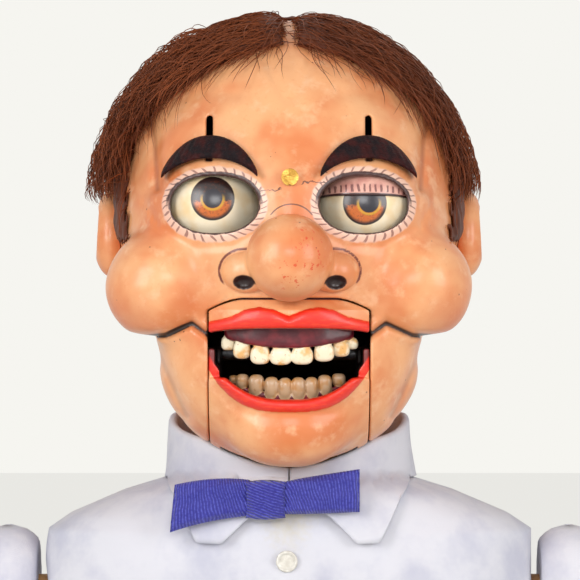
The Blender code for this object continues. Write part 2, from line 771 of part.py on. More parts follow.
def tooth_row(count, half_width, front, root, tip, deep, bow):
    """Teeth along a bow-shaped arch, each overlapping the next a little."""
    row = None
    for i in range(count):
        across = -1 + (2 * i + 1) / count
        x = across * half_width
        y = front + bow * across**2
        half = half_width / count * 1.12
        low, high = sorted((root, tip))
        tooth = box(at_head(x - half, y, low), at_head(x + half, y + deep, high))
        row = tooth if row is None else join(row, tooth)
    return row


def arch_block(half_width, front, bow, deep, low, high):
    """A block whose front and back both bow back towards the corners."""
    front_edge, back_edge = [], []
    for i in range(11):
        across = -1 + i / 5
        y = front + bow * across**2
        front_edge.append((across * half_width, y))
        back_edge.append((across * half_width, y + deep))
    outline = front_edge + back_edge[::-1]
    return loft([[at_head(x, y, z) for x, y in outline] for z in (low, high)])


def build_upper_teeth(fit):
    """Gum under the nose, carried by a block on the face's inner wall, with its row of teeth."""
    gum = arch_block(GUM_HALF_WIDTH, GUM_FRONT_Y, ARCH_BOW, 6 * MM, -26 * MM, -9 * MM)
    seat = within(head_box((-24 * MM, 24 * MM), (-0.1, -66 * MM), (-12 * MM, 8 * MM)), fit, keep_tool=True)
    cut(seat, head_box((-0.03, 0.03), (-0.12, -74.5 * MM), (-0.05, 1 * MM)))
    join(gum, seat)
    half = GUM_HALF_WIDTH - 2 * MM
    root = -22 * MM
    teeth = tooth_row(UPPER_TEETH, half, UPPER_TEETH_Y, root, UPPER_TOOTH_TIP, UPPER_TEETH_DEEP, ARCH_BOW)
    join(gum, teeth)
    return finish(gum, "upper_teeth", TOOTH, at_head(0, -70 * MM, -10 * MM))


def build_lower_teeth():
    """Gum bar on the jaw's inner wall, with its row of teeth set back from the upper row."""
    gum = head_box((-30.6 * MM, 30.6 * MM), (-0.1, -62 * MM), (-58 * MM, -52 * MM))
    within(gum, scaled(jaw_hollow(), SEATED_IN))
    join(gum, tooth_row(LOWER_TEETH, 26 * MM, LOWER_TEETH_Y, -54 * MM, LOWER_TOOTH_TIP, 5 * MM, 8 * MM))
    return finish(gum, "lower_teeth", TOOTH, at_head(0, JAW_PIVOT_Y, JAW_PIVOT_Z))


def build_upper_lip():
    half = LIP_HALF_WIDTH
    outer_rings = []
    for z in (LIP_TOP, -8 * MM, -13 * MM, LIP_BOTTOM):
        forward = LIP_FRONT_Y if z <= -8 * MM else LIP_FRONT_Y + 6 * MM
        front, back = [], []
        for i in range(13):
            across = -1 + i / 6
            y = forward + LIP_BOW * across**2
            front.append(at_head(across * half, y, z))
            back.append(at_head(across * half, y + LIP_THICK, z))
        outer_rings.append(front + back[::-1])
    lip = loft(outer_rings)
    cut(lip, ball(at_head(*NOSE_CENTRE), (NOSE_RADIUS + 2 * GAP,) * 3, 28, 18))
    return finish(lip, "upper_lip", SKIN, at_head(0, LIP_FRONT_Y, LIP_TOP))


def build_nose(clear_skin):
    nose = cut(nose_form(), clear_skin)
    join(nose, nose_pin(NOSE_PIN_RADIUS))
    return finish(nose, "nose", SKIN, at_head(*NOSE_CENTRE))


# ---------------------------------------------------------------- neck, stick and levers


def build_neck_ring():
    ends = (0, NECK_Y, BOARD_TOP + GAP), (0, NECK_Y, NECK_BALL_Z - 3 * MM)
    ring = rod(*ends, NECK_RING_RADIUS, segments=28)
    cut(ring, ball((0, NECK_Y, NECK_BALL_Z), (NECK_BALL_RADIUS + RUNNING,) * 3))
    return finish(ring, "neck_ring", WOOD, (0, NECK_Y, NECK_BALL_Z))


def build_neck_post(fit):
    post = ball((0, NECK_Y, NECK_BALL_Z), (NECK_BALL_RADIUS,) * 3)
    cut(post, box((-0.05, -0.05, 0.2), (0.05, 0.1, NECK_BALL_BOTTOM)))
    join(post, rod((0, NECK_Y, NECK_BALL_Z), at_head(0, NECK_Y, HEAD_BOTTOM + 8 * MM), NECK_POST_RADIUS))
    plate = head_box((-50 * MM, 50 * MM), (-5 * MM, 60 * MM), (HEAD_BOTTOM + 1 * MM, HEAD_BOTTOM + 9 * MM))
    join(post, within(plate, fit, keep_tool=True))
    return finish(post, "neck_post", WOOD, (0, NECK_Y, NECK_BALL_Z))


LEVERS = (
    ("jaw_lever", 1, 0),
    ("eye_lever", -1, 0),
    ("lid_lever_left", 1, 1),
    ("lid_lever_right", -1, 1),
    ("brow_lever", 1, 2),
    ("lip_lever", -1, 2),
    ("nose_lever", 1, 3),
)


def lever_pivot(side, row):
    return (side * STICK_SIDE / 2, NECK_Y, LEVER_TOP_Z - LEVER_STEP * row)


def build_control_stick():
    half = STICK_SIDE / 2
    stick = box((-half, NECK_Y - half, STICK_BOTTOM), (half, NECK_Y + half, NECK_BALL_BOTTOM - GAP))
    for _, side, row in LEVERS:
        x, y, z = lever_pivot(side, row)
        outer = x + side * (LEVER_THICK + 2 * MM)
        join(stick, rod((x - side * 4 * MM, y, z), (outer, y, z), LEVER_PIN_RADIUS, segments=16))
    return finish(stick, "control_stick", WOOD, (0, NECK_Y, NECK_BALL_BOTTOM))


def build_lever(name, side, row):
    x, y, z = lever_pivot(side, row)
    edges = sorted((x + side * RUNNING, x + side * (RUNNING + LEVER_THICK)))
    half = LEVER_WIDE / 2
    lever = box((edges[0], y - 8 * MM, z - half), (edges[1], y + LEVER_LONG, z + half))
    tip = rod((edges[0], y + LEVER_LONG, z), (edges[1], y + LEVER_LONG, z), half + 1.5 * MM, segments=20)
    join(lever, tip)
    ends = (edges[0] - 5 * MM, y, z), (edges[1] + 5 * MM, y, z)
    cut(lever, rod(*ends, LEVER_PIN_RADIUS + GAP, segments=16))
    return finish(lever, name, BRASS, (x, y, z))


# ---------------------------------------------------------------- body and clothes


def body_size(height, grow):
    levels = np.array(BODY_LEVELS) * MM
    half_width = np.interp(height, levels[:, 0], levels[:, 1])
    half_depth = np.interp(height, levels[:, 0], levels[:, 2])
    return half_width + grow, half_depth + grow


def body_ring(height, grow, count=20):
    half_width, half_depth = body_size(height, grow)
    points = []
    for i in range(count):
        turn = 2 * math.pi * i / count
        c, s = math.cos(turn), math.sin(turn)
        x = half_width * math.copysign(abs(c) ** (2 / BODY_SQUARENESS), c)
        y = half_depth * math.copysign(abs(s) ** (2 / BODY_SQUARENESS), s)
        points.append((x, y, height))
    return points


def body_loft(low, high, grow, count=20):
    heights = [low] + [level[0] * MM for level in BODY_LEVELS if low < level[0] * MM < high] + [high]
    return loft([body_ring(height, grow, count) for height in heights])


def body_shell(low, high, inside, outside, count=20):
    shell = body_loft(low, high, outside, count)
    return cut(shell, body_loft(low - 5 * MM, high + 5 * MM, inside, count))


def hip_notch(side, clearance):
    half = TONGUE_THICK / 2 + clearance
    x = side * HIP_X
    return box((x - half, -0.09, -0.01), (x + half, -30 * MM, LEG_Z + TONGUE_RADIUS + clearance))


def build_seat_board():
    seat = body_loft(0, SEAT_THICK, 0)
    for side in (-1, 1):
        x = side * HIP_X
        outline = [(-30 * MM, LEG_Z + TONGUE_RADIUS - 3 * MM), (-30 * MM, 2 * MM), (-46 * MM, 2 * MM)]
        for i in range(13):
            turn = math.radians(-120 + 20 * i)
            outline.append((HIP_Y - TONGUE_RADIUS * math.cos(turn), LEG_Z + TONGUE_RADIUS * math.sin(turn)))
        half = TONGUE_THICK / 2
        join(seat, loft([[(edge, y, z) for y, z in outline] for edge in (x - half, x + half)]))
        cut(seat, rod((x - 0.02, HIP_Y, LEG_Z), (x + 0.02, HIP_Y, LEG_Z), PIN_RADIUS + GAP, segments=20))
    return finish(seat, "seat_board", WOOD)


def rear_opening(grow):
    half = REAR_OPENING_HALF_WIDTH + grow
    return box((-half, 0, REAR_OPENING[0] - grow), (half, 0.12, REAR_OPENING[1] + grow))


def build_torso_shell():
    shell = body_shell(SEAT_THICK + GAP, BOARD_BOTTOM - GAP, -BODY_WALL, 0)
    cut(shell, rear_opening(0))
    for side in (-1, 1):
        cut(shell, hip_notch(side, 1 * MM))
    return finish(shell, "torso_shell", SKIN, (0, 0, SEAT_THICK))


def shoulder_pin(side, radius, reach):
    return rod((side * 95 * MM, 0, SHOULDER_Z), (side * reach, 0, SHOULDER_Z), radius)


def build_shoulder_board():
    board = body_loft(BOARD_BOTTOM, BOARD_TOP, 0)
    cut(board, rod((0, NECK_Y, 0.2), (0, NECK_Y, 0.4), NECK_HOLE_RADIUS, segments=28))
    for side in (-1, 1):
        join(board, shoulder_pin(side, SHOULDER_PIN_RADIUS, ARM_X - 4 * MM))
    return finish(board, "shoulder_board", WOOD, (0, 0, BOARD_BOTTOM))


def build_shirt():
    shirt = body_shell(SHIRT_BOTTOM, 351 * MM, SHIRT_GAP, SHIRT_GAP + CLOTH)
    sides = 32
    neck_hole = (COLLAR_RADIUS + COLLAR_WALL + GAP) / math.cos(math.pi / sides)
    cut(shirt, rod((0, NECK_Y, 0.3), (0, NECK_Y, 0.4), neck_hole, segments=sides))
    cut(shirt, rear_opening(3 * MM))
    for side in (-1, 1):
        cut(shirt, hip_notch(side, 3 * MM))
        cut(shirt, shoulder_pin(side, SHOULDER_PIN_RADIUS + 1 * MM, 0.13))
    return finish(shirt, "shirt_body", SHIRT, (0, 0, SHIRT_BOTTOM))


def collar_top(turn):
    """Height of the collar's top edge at an angle from the front."""
    angles, tops = zip(*COLLAR_TOPS)
    return np.interp(abs(math.degrees(turn)), angles, tops) * MM


def build_collar():
    """A stand collar, low under the chin and high at the back."""
    count = 36
    low = BOARD_TOP + 2 * GAP
    rings = []
    outer = COLLAR_RADIUS + COLLAR_WALL
    for radius, upper in ((COLLAR_RADIUS, False), (COLLAR_RADIUS, True), (outer, True), (outer, False)):
        ring = []
        for i in range(count):
            turn = math.pi * (2 * i + 1) / count - math.pi
            z = collar_top(turn) if upper else low
            ring.append((radius * math.sin(turn), NECK_Y - radius * math.cos(turn), z))
        rings.append(ring)

    def make(built):
        rows = [[built.verts.new(point) for point in ring] for ring in rings]
        for row, following in zip(rows, rows[1:] + rows[:1]):
            for i in range(count):
                j = (i + 1) % count
                built.faces.new((row[i], row[j], following[j], following[i]))

    return finish(loose(make), "shirt_collar", SHIRT, (0, NECK_Y, low))


def build_trouser_seat():
    grow = SHIRT_GAP + CLOTH + TROUSER_GAP
    seat = body_shell(2 * MM, TROUSER_TOP, grow, grow + CLOTH)
    cut(seat, rear_opening(5 * MM))
    for side in (-1, 1):
        cut(seat, hip_notch(side, THIGH_RADIUS))
    return finish(seat, "trouser_seat", TROUSERS, (0, 0, 2 * MM))


def build_tie():
    """Two flat loops through a knot, a little to one side of the middle."""
    half_knot = TIE_KNOT[0] / 2
    rings = []
    half_steps = ((0.35, 0.92, 1), (0.85, 1, 1), (1, 0.72, 0.8))
    steps = [(-a, tall, deep) for a, tall, deep in reversed(half_steps)] + [(0, 0.5, 0.5), *half_steps]
    reach = half_knot + TIE_LOOP_LONG
    for along, tall, thick in steps:
        ring = []
        for i in range(16):
            turn = 2 * math.pi * i / 16
            c, s = math.cos(turn), math.sin(turn)
            y = TIE_Y + TIE_LOOP_THICK / 2 * thick * math.copysign(abs(c) ** 0.6, c)
            z = TIE_Z + TIE_LOOP_TALL / 2 * tall * math.copysign(abs(s) ** 0.6, s)
            ring.append((TIE_KNOT_X + along * reach, y, z))
        rings.append(ring)
    bow = loft(rings)
    knot_back = TIE_Y - TIE_LOOP_THICK * 0.25
    room = box(
        (TIE_KNOT_X - half_knot - GAP, TIE_Y - 0.02, TIE_Z - 0.02),
        (TIE_KNOT_X + half_knot + GAP, knot_back, TIE_Z + 0.02),
    )
    finish(cut(bow, room), "tie_bow", TIE, (TIE_KNOT_X, TIE_Y, TIE_Z))
    knot = box(
        (TIE_KNOT_X - half_knot, knot_back - GAP - 6 * MM, TIE_Z - TIE_KNOT[2] / 2),
        (TIE_KNOT_X + half_knot, knot_back - GAP, TIE_Z + TIE_KNOT[2] / 2),
    )
    finish(knot, "tie_knot", TIE, (TIE_KNOT_X, knot_back, TIE_Z))


# ---------------------------------------------------------------- limbs, each built hanging from its pivot


def rounded_end(half, solid_to, deep=TONGUE_RADIUS):
    """A slab across X with a round end about the origin, running down to `solid_to`."""
    outline = [(-deep, solid_to), (deep, solid_to)]
    for i in range(17):
        turn = math.radians(11.25 * i)
        outline.append((deep * math.cos(turn), deep * math.sin(turn)))
    return loft([[(x, y, z) for y, z in outline] for x in (-half, half)])


def fork(length):
    """The slotted lower end of a limb piece, with its pin; the axis is at z = -length."""
    half = TONGUE_THICK / 2 + RUNNING
    end = rounded_end(FORK_HALF, -FORK_CLEAR - 4 * MM)
    cut(end, box((-half, -0.04, -TONGUE_RADIUS - RUNNING - 1 * MM), (half, 0.04, 0.04)))
    join(end, rod((-FORK_HALF + 2 * MM, 0, 0), (FORK_HALF - 2 * MM, 0, 0), PIN_RADIUS, segments=20))
    return moved(end, Matrix.Translation((0, 0, -length)) @ Matrix.Rotation(math.pi, 4, "X"))


def tongue(solid_to):
    """The flat upper end of a limb piece, bored for the pin at the origin."""
    return rounded_end(TONGUE_THICK / 2, solid_to, TONGUE_RADIUS * 0.98)


def pin_hole():
    return rod((-0.05, 0, 0), (0.05, 0, 0), PIN_RADIUS + GAP, segments=20)


def rounded_limb(top, bottom, top_radius, bottom_radius, domed=False):
    """The round part of a limb, between two heights, with softened ends."""
    soft = 3 * MM
    profile = [(0, top), (top_radius - soft, top), (top_radius, top - soft)]
    if domed:
        turns = [math.radians(a) for a in range(0, 90, 15)]
        profile = [(top_radius * math.sin(a), top_radius * math.cos(a)) for a in turns]
        profile[0] = (0, top_radius)
    profile += [(bottom_radius, bottom + soft), (bottom_radius - soft, bottom), (0, bottom)]
    return turned(profile)


def build_upper_arm(side, name):
    lower_radius = UPPER_ARM_RADIUS - 0.7 * MM
    arm = rounded_limb(0, -UPPER_ARM + FORK_CLEAR, UPPER_ARM_RADIUS, lower_radius, domed=True)
    join(arm, fork(UPPER_ARM))
    cut(arm, rod((-side * 0.03, 0, 0), (-side * 3.4 * MM, 0, 0), SHOULDER_PIN_RADIUS + GAP))
    moved(arm, Matrix.Translation((side * ARM_X, 0, SHOULDER_Z)))
    return finish(arm, name, WOOD, (side * ARM_X, 0, SHOULDER_Z))


def finger(root, tip, radius):
    """A finger with a rounded tip."""
    root, tip = Vector(root), Vector(tip)
    long = (tip - root).length
    rounding = [(radius * 0.6, long - radius * 0.2), (radius * 0.95, long - radius)]
    profile = [(0, long), *rounding, (radius, 0), (0, 0)]
    turn = (tip - root).to_track_quat("Z", "Y").to_matrix().to_4x4()
    return moved(turned(profile, 8), Matrix.Translation(root) @ turn)


def build_forearm(side, name):
    """Carved forearm and hand in one piece, the thumb to the front."""
    start = -TONGUE_RADIUS - 2 * MM
    arm = rounded_limb(start, -FOREARM, FOREARM_RADII[0], FOREARM_RADII[1])
    join(arm, tongue(start - 4 * MM))
    cut(arm, pin_hole())
    join(arm, ball((0.1 * MM, 0.2 * MM, -FOREARM - 18 * MM), (8.5 * MM, 14.5 * MM, 21 * MM), 14, 9))
    for i in range(4):
        y = (i - 1.5) * 6.6 * MM
        root = (0, y, -FOREARM - 24 * MM)
        long = HAND_LONG - (2 * MM if i in (1, 2) else 6 * MM)
        tip = (-side * 3 * MM, y, -FOREARM - long)
        join(arm, finger(root, tip, 3.5 * MM))
    thumb = (0, -8 * MM, -FOREARM - 8 * MM), (-side * 5 * MM, -18 * MM, -FOREARM - 32 * MM)
    join(arm, finger(*thumb, 4.4 * MM))
    elbow = (side * ARM_X, 0, SHOULDER_Z - UPPER_ARM)
    moved(arm, Matrix.Translation(elbow))
    return finish(arm, name, SKIN, elbow)


def sleeve_head(side, shrink):
    """The rounded top of a sleeve, turned about the shoulder's axis."""
    reach, radius = SHOULDER_CAP
    cap = ball((0, 0, 0), (reach - shrink, radius - shrink, radius - shrink), 16, 10)
    cut(cap, box((-0.08, -0.05, -0.05), (-shrink, 0.05, 0.05)))
    return moved(cap, Matrix.Translation((SHOULDER_X, 0, SHOULDER_Z)) )


def sleeve_solid(shrink):
    """Right-hand-rule sleeve on +X: its head and the tube down to above the elbow."""
    low = SHOULDER_Z - UPPER_ARM + TONGUE_RADIUS + 10 * MM
    radius = UPPER_ARM_RADIUS + SLEEVE_GAP + CLOTH - shrink
    tube = rod((ARM_X, 0, SHOULDER_Z), (ARM_X, 0, low - shrink), radius + 2.4 * MM, radius, 20)
    return join(sleeve_head(1, shrink), tube)


def build_upper_sleeve(side, name):
    sleeve = cut(sleeve_solid(0), sleeve_solid(CLOTH))
    ends = (SHOULDER_X - 0.02, 0, SHOULDER_Z), (SHOULDER_X + 3 * MM, 0, SHOULDER_Z)
    doorway = rod(*ends, SHOULDER_CAP[1] - 3 * MM)
    cut(sleeve, doorway)
    moved(sleeve, Matrix.Diagonal((side, 1, 1, 1)))
    if side < 0:
        sleeve.data.flip_normals()
    return finish(sleeve, name, SHIRT, (side * ARM_X, 0, SHOULDER_Z))


def tube_wall(start, end, inner, end_inner, wall):
    outer = rod((0, 0, start), (0, 0, end), inner + wall, end_inner + wall, 20)
    slope = (end_inner - inner) / abs(end - start)
    extra = 5 * MM
    ends = (0, 0, start + extra), (0, 0, end - extra)
    return cut(outer, rod(*ends, inner - slope * extra, end_inner + slope * extra, 20))


def build_lower_sleeve(side, name):
    """The lower sleeve, with a thicker cuff at the wrist."""
    start = -TONGUE_RADIUS - 9 * MM
    inner, wrist = FOREARM_RADII[0] + SLEEVE_GAP, FOREARM_RADII[1] + 4 * MM
    sleeve = tube_wall(start, -FOREARM + 18 * MM, inner, wrist + 1 * MM, CLOTH)
    cuff = tube_wall(-FOREARM + 20 * MM, -FOREARM + 1 * MM, wrist, wrist, 2.6 * MM)
    join(sleeve, cuff)
    elbow = (side * ARM_X, 0, SHOULDER_Z - UPPER_ARM)
    moved(sleeve, Matrix.Translation(elbow))
    return finish(sleeve, name, SHIRT, elbow)


def forward_from(point):
    """Turns a piece built hanging down so that it lies along -Y from a point."""
    return Matrix.Translation(point) @ Matrix.Rotation(math.radians(-90), 4, "X")


def hip_point(side):
    return (side * HIP_X, HIP_Y, LEG_Z)


def knee_point(side):
    return (side * HIP_X, HIP_Y - THIGH, LEG_Z)


def build_thigh(side, name):
    thigh = rounded_limb(-FORK_CLEAR, -THIGH + FORK_CLEAR, THIGH_RADIUS, THIGH_RADIUS - 1 * MM)
    join(thigh, moved(fork(0), Matrix.Rotation(math.pi, 4, "X")))
    join(thigh, fork(THIGH))
    moved(thigh, forward_from(hip_point(side)))
    return finish(thigh, name, WOOD, hip_point(side))


def build_shin(side, name):
    start = -TONGUE_RADIUS - 2 * MM
    shin = rounded_limb(start, -SHIN, SHIN_RADII[0], SHIN_RADII[1])
    join(shin, tongue(start - 4 * MM))
    cut(shin, pin_hole())
    moved(shin, forward_from(knee_point(side)))
    return finish(shin, name, WOOD, knee_point(side))


def build_trouser_leg(side, name, upper):
    if upper:
        inner = THIGH_RADIUS + SLEEVE_GAP
        tube = tube_wall(-TONGUE_RADIUS - 9 * MM, -THIGH + TONGUE_RADIUS + 10 * MM, inner, inner, CLOTH)
        place = hip_point(side)
    else:
        inner = SHIN_RADII[0] + SLEEVE_GAP
        tube = tube_wall(-TONGUE_RADIUS - 9 * MM, -SHIN + 10 * MM, inner, inner, CLOTH)
        place = knee_point(side)
    moved(tube, forward_from(place))
    return finish(tube, name, TROUSERS, place)


def build_shoe(side, name):
    """A laced shoe, heel on the floor and toe up, with its sole to the front."""
    back = HIP_Y - THIGH - SHIN - GAP
    rings = []
    heel_half = ((-1, 0.72, 0.8), (-0.9, 0.86, 1), (-0.45, 0.9, 1.02), (0, 0.8, 0.92))
    stations = (*heel_half, (0.5, 1.0, 0.72), (0.85, 0.86, 0.6), (1, 0.5, 0.4))
    for along, wide, deep in stations:
        ring = []
        for i in range(24):
            turn = 2 * math.pi * i / 24
            c, s = math.cos(turn), math.sin(turn)
            x = side * HIP_X + SHOE_WIDE / 2 * wide * math.copysign(abs(c) ** 0.8, c)
            spread = SHOE_DEEP * deep
            y = back - SHOE_DEEP + spread / 2 + spread / 2 * math.copysign(abs(s) ** 0.7, s)
            ring.append((x, y, SHOE_CENTRE_Z + along * SHOE_TALL / 2))
        rings.append(ring)
    shoe = loft(rings)
    cut(shoe, box((-0.1, back, -0.1), (0.1, 0, 0.2)))
    return finish(shoe, name, SHOE, (side * HIP_X, back, LEG_Z))


# ---------------------------------------------------------------- assembly

clear_scene()
PARTS = new_collection("ventriloquist_dummy")


def build_head():
    surface = head_form(0, 34, 24)
    cavity = head_form(-HEAD_WALL, 26, 18)
    fit = scaled(cavity, SEATED_IN)
    skin = scaled(surface, SEATED_ON)
    build_head_shell(scaled(surface, 1), cavity)
    build_rear_door(surface, fit)
    build_ear(1, "ear_left", skin)
    build_ear(-1, "ear_right", skin)
    build_wig(skin)
    build_brow_screw(skin)
    build_nose(scaled(surface, NOSE_CLEAR))
    build_upper_lip()
    build_upper_teeth(fit)
    build_jaw()
    build_lower_teeth()
    for side, word in ((1, "left"), (-1, "right")):
        build_eyeball(side, f"eyeball_{word}")
        build_lid(side, f"eyelid_{word}", LID_OPEN - (LID_LEFT_DROP if side > 0 else 0))
        build_brow(side, f"eyebrow_{word}", surface)
    build_eye_frame(fit)
    build_cross_axle("brow_axle", BROW_AXLE_Y, BROW_AXLE_Z, AXLE_RADIUS, fit)
    build_cross_axle("jaw_axle", JAW_PIVOT_Y, JAW_PIVOT_Z, JAW_AXLE_RADIUS, fit)
    build_neck_post(fit)
    for form in (surface, fit, skin):
        bpy.data.objects.remove(form)


def build_body():
    build_neck_ring()
    build_control_stick()
    for name, side, row in LEVERS:
        build_lever(name, side, row)
    build_seat_board()
    build_torso_shell()
    build_shoulder_board()
    build_shirt()
    build_collar()
    build_tie()
    build_trouser_seat()


def build_limbs():
    for side, word in ((1, "left"), (-1, "right")):
        build_upper_arm(side, f"upper_arm_{word}")
        build_forearm(side, f"forearm_{word}")
        build_upper_sleeve(side, f"sleeve_upper_{word}")
        build_lower_sleeve(side, f"sleeve_lower_{word}")
        build_thigh(side, f"thigh_{word}")
        build_shin(side, f"shin_{word}")
        build_trouser_leg(side, f"trouser_upper_{word}", True)
        build_trouser_leg(side, f"trouser_lower_{word}", False)
        build_shoe(side, f"shoe_{word}")


build_head()
build_body()
build_limbs()
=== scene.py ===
"""The look of a seated ventriloquist dummy: painted head, wig, shirt, bow tie, trousers and shoes."""

import json
import math

import bpy
import numpy as np
import openvdb
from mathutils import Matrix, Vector


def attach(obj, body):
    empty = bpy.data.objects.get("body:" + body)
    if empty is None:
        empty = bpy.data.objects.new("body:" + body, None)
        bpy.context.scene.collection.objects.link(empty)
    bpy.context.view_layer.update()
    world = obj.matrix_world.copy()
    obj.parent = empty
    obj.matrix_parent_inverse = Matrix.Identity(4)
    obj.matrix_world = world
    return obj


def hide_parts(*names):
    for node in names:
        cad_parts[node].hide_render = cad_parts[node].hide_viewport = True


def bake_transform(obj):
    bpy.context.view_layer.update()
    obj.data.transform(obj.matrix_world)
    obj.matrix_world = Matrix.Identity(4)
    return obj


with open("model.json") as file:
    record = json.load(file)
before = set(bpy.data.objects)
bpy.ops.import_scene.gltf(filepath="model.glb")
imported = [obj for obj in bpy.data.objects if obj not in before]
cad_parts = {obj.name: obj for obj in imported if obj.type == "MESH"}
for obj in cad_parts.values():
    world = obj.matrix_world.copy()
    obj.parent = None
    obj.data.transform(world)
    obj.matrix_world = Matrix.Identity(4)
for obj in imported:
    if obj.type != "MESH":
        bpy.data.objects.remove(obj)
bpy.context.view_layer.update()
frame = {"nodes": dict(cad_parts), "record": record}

# Lengths are in millimetres until add_mesh places them. Heights on the head are over HEAD_Z.
HEAD_Z = 440.0
EYE = np.array((33.6, -56.0, 38.5))
EYE_RADIUS = 24.0
SOCKET_RADIUS = 25.8
MOUND_RADIUS = 28.4
OPENING = (20.0, 12.9)
WALL = 5.0
RNG = np.random.default_rng(11)


# ---------------------------------------------------------------- distance fields


def ellipsoid(p, centre, radii):
    q = p - np.array(centre, np.float32)
    r = np.array(radii, np.float32)
    k0 = np.linalg.norm(q / r, axis=-1)
    k1 = np.linalg.norm(q / (r * r), axis=-1)
    return k0 * (k0 - 1.0) / np.maximum(k1, 1e-6)


def ball(p, centre, radius):
    return np.linalg.norm(p - np.array(centre, np.float32), axis=-1) - radius


def smin(a, b, k):
    h = np.clip(0.5 + 0.5 * (b - a) / k, 0, 1)
    return b * (1 - h) + a * h - k * h * (1 - h)


def smax(a, b, k):
    return -smin(-a, -b, k)


def mirrored(p):
    m = p.copy()
    m[:, 0] = np.abs(m[:, 0])
    return m


def polyline(x, z, points):
    """Distance from (x, z) to a line through the points."""
    best = None
    for (ax, az), (bx, bz) in zip(points, points[1:]):
        dx, dz = bx - ax, bz - az
        t = np.clip(((x - ax) * dx + (z - az) * dz) / (dx * dx + dz * dz), 0, 1)
        d = np.hypot(x - ax - t * dx, z - az - t * dz)
        best = d if best is None else np.minimum(best, d)
    return best


def capsule(p, a, b, ra, rb):
    a, b = np.array(a, np.float32), np.array(b, np.float32)
    ab = b - a
    t = np.clip(((p - a) @ ab) / (ab @ ab), 0, 1)
    return np.linalg.norm(p - a - t[:, None] * ab, axis=-1) - (ra + (rb - ra) * t)


def head_base(p, neck=True):
    m = mirrored(p)
    d = ellipsoid(m, (0, 2, 36), (81, 90, 92))
    d = smin(d, ellipsoid(m, (0, -34, 20), (72, 52, 66)), 12)
    d = smin(d, ellipsoid(m, (0, -32, -30), (61, 56, 52)), 14)
    d = smin(d, ellipsoid(m, (0, -63, -62), (28, 22, 19)), 8)
    d = smin(d, ellipsoid(m, (57, -55, 2), (27, 27, 26)), 7)
    d = smin(d, ball(m, EYE, MOUND_RADIUS), 5)
    d = smin(d, ellipsoid(m, (0, -78, 34), (13, 14, 24)), 8)
    if neck:
        column = np.maximum(np.hypot(m[:, 0], m[:, 1] - 8) - 38, m[:, 2] + 23)
        d = smin(d, column, 10)
    return d


# Each crease: its line on the right and left of the face, its depth and its width.
CREASES = (
    (((1.5, 86.5), (5, 93), (10, 104)), 1.1, 2.4),
    (((66, 84), (62, 70), (60, 46)), 1.9, 2.6),
    (((52, 86), (40, 91), (24, 89)), 0.8, 3.6),
    (((13, 27.5), (25, 20), (42, 19.5), (56, 27)), 0.8, 2.2),
    (((60, 30), (66, 40)), 0.7, 1.6),
    (((57, 25), (65, 30)), 0.6, 1.6),
    (((74, -22), (56, -20.5), (44, -15), (37, -20)), 2.6, 2.0),
    (((62.5, -25), (55, -40), (47, -58)), 1.7, 3.0),
    (((28, -3), (37, -12)), 1.5, 3.2),
)


def creases(p):
    """How deep the carved lines of the face are at each point."""
    x, z = np.abs(p[:, 0]), p[:, 2]
    front = np.clip((-p[:, 1] - 8) / 14, 0, 1)
    deep = np.zeros(len(p), np.float32)
    for line, depth, width in CREASES:
        deep = np.maximum(deep, depth * np.exp(-((polyline(x, z, line) / width) ** 2)) * front)
    return deep


def swells(p):
    """Low waves and bumps of carved wood under the paint, and folds beside the eyes."""
    x, y, z = p[:, 0], p[:, 1], p[:, 2]
    wave = 0.35 * np.sin(x * 0.11 + 1.3) * np.sin(z * 0.09 + 0.4)
    wave = wave + 0.22 * np.sin(x * 0.21 + z * 0.17 + y * 0.1)
    fold = 0.9 * np.exp(-(polyline(np.abs(x), z, ((61, 44), (65, 36), (63, 28))) / 2.4) ** 2)
    brow = 1.1 * np.exp(-(polyline(np.abs(x), z, ((16, 60), (30, 78), (50, 74), (62, 56))) / 5) ** 2)
    return wave + fold + brow


def almond(p):
    """Distance across the face from the rim of the nearer eye's opening, below 0 inside it."""
    x = (np.abs(p[:, 0]) - EYE[0]) / OPENING[0]
    z = (p[:, 2] - EYE[2]) / OPENING[1]
    k = (np.abs(x) ** 2.25 + np.abs(z) ** 2.1) ** (1 / 2.15)
    far = np.hypot(x * OPENING[0], z * OPENING[1])
    return far * (1 - 1 / np.maximum(k, 1e-3))


def slot_top(x):
    return -3.5 - 5.2 * np.clip((np.abs(x) - 21) / 15, 0, 1) ** 1.6


def axis(*spans):
    out = []
    for low, high, step in spans:
        out.append(np.linspace(low, high, max(1, round((high - low) / step)), endpoint=False))
    out.append([spans[-1][1]])
    return np.concatenate(out).astype(np.float32)


def surface(field, axes):
    """The zero surface of a field sampled on the axes, as points, quads and triangles."""
    volume = np.empty([len(a) for a in axes], np.float32)
    for i in range(0, len(axes[0]), 10):
        grid = np.stack(np.meshgrid(axes[0][i : i + 10], axes[1], axes[2], indexing="ij"), -1)
        volume[i : i + 10] = field(grid.reshape(-1, 3)).reshape(grid.shape[:3])
    vdb = openvdb.FloatGrid()
    vdb.background = 5.0
    vdb.copyFromArray(volume)
    points, tris, quads = vdb.convertToPolygons(isovalue=0.0, adaptivity=0.0)
    spots = [np.interp(points[:, k], np.arange(len(axes[k])), axes[k]) for k in range(3)]
    return np.stack(spots, 1), [quads[:, ::-1], tris[:, ::-1]]


# ---------------------------------------------------------------- meshes


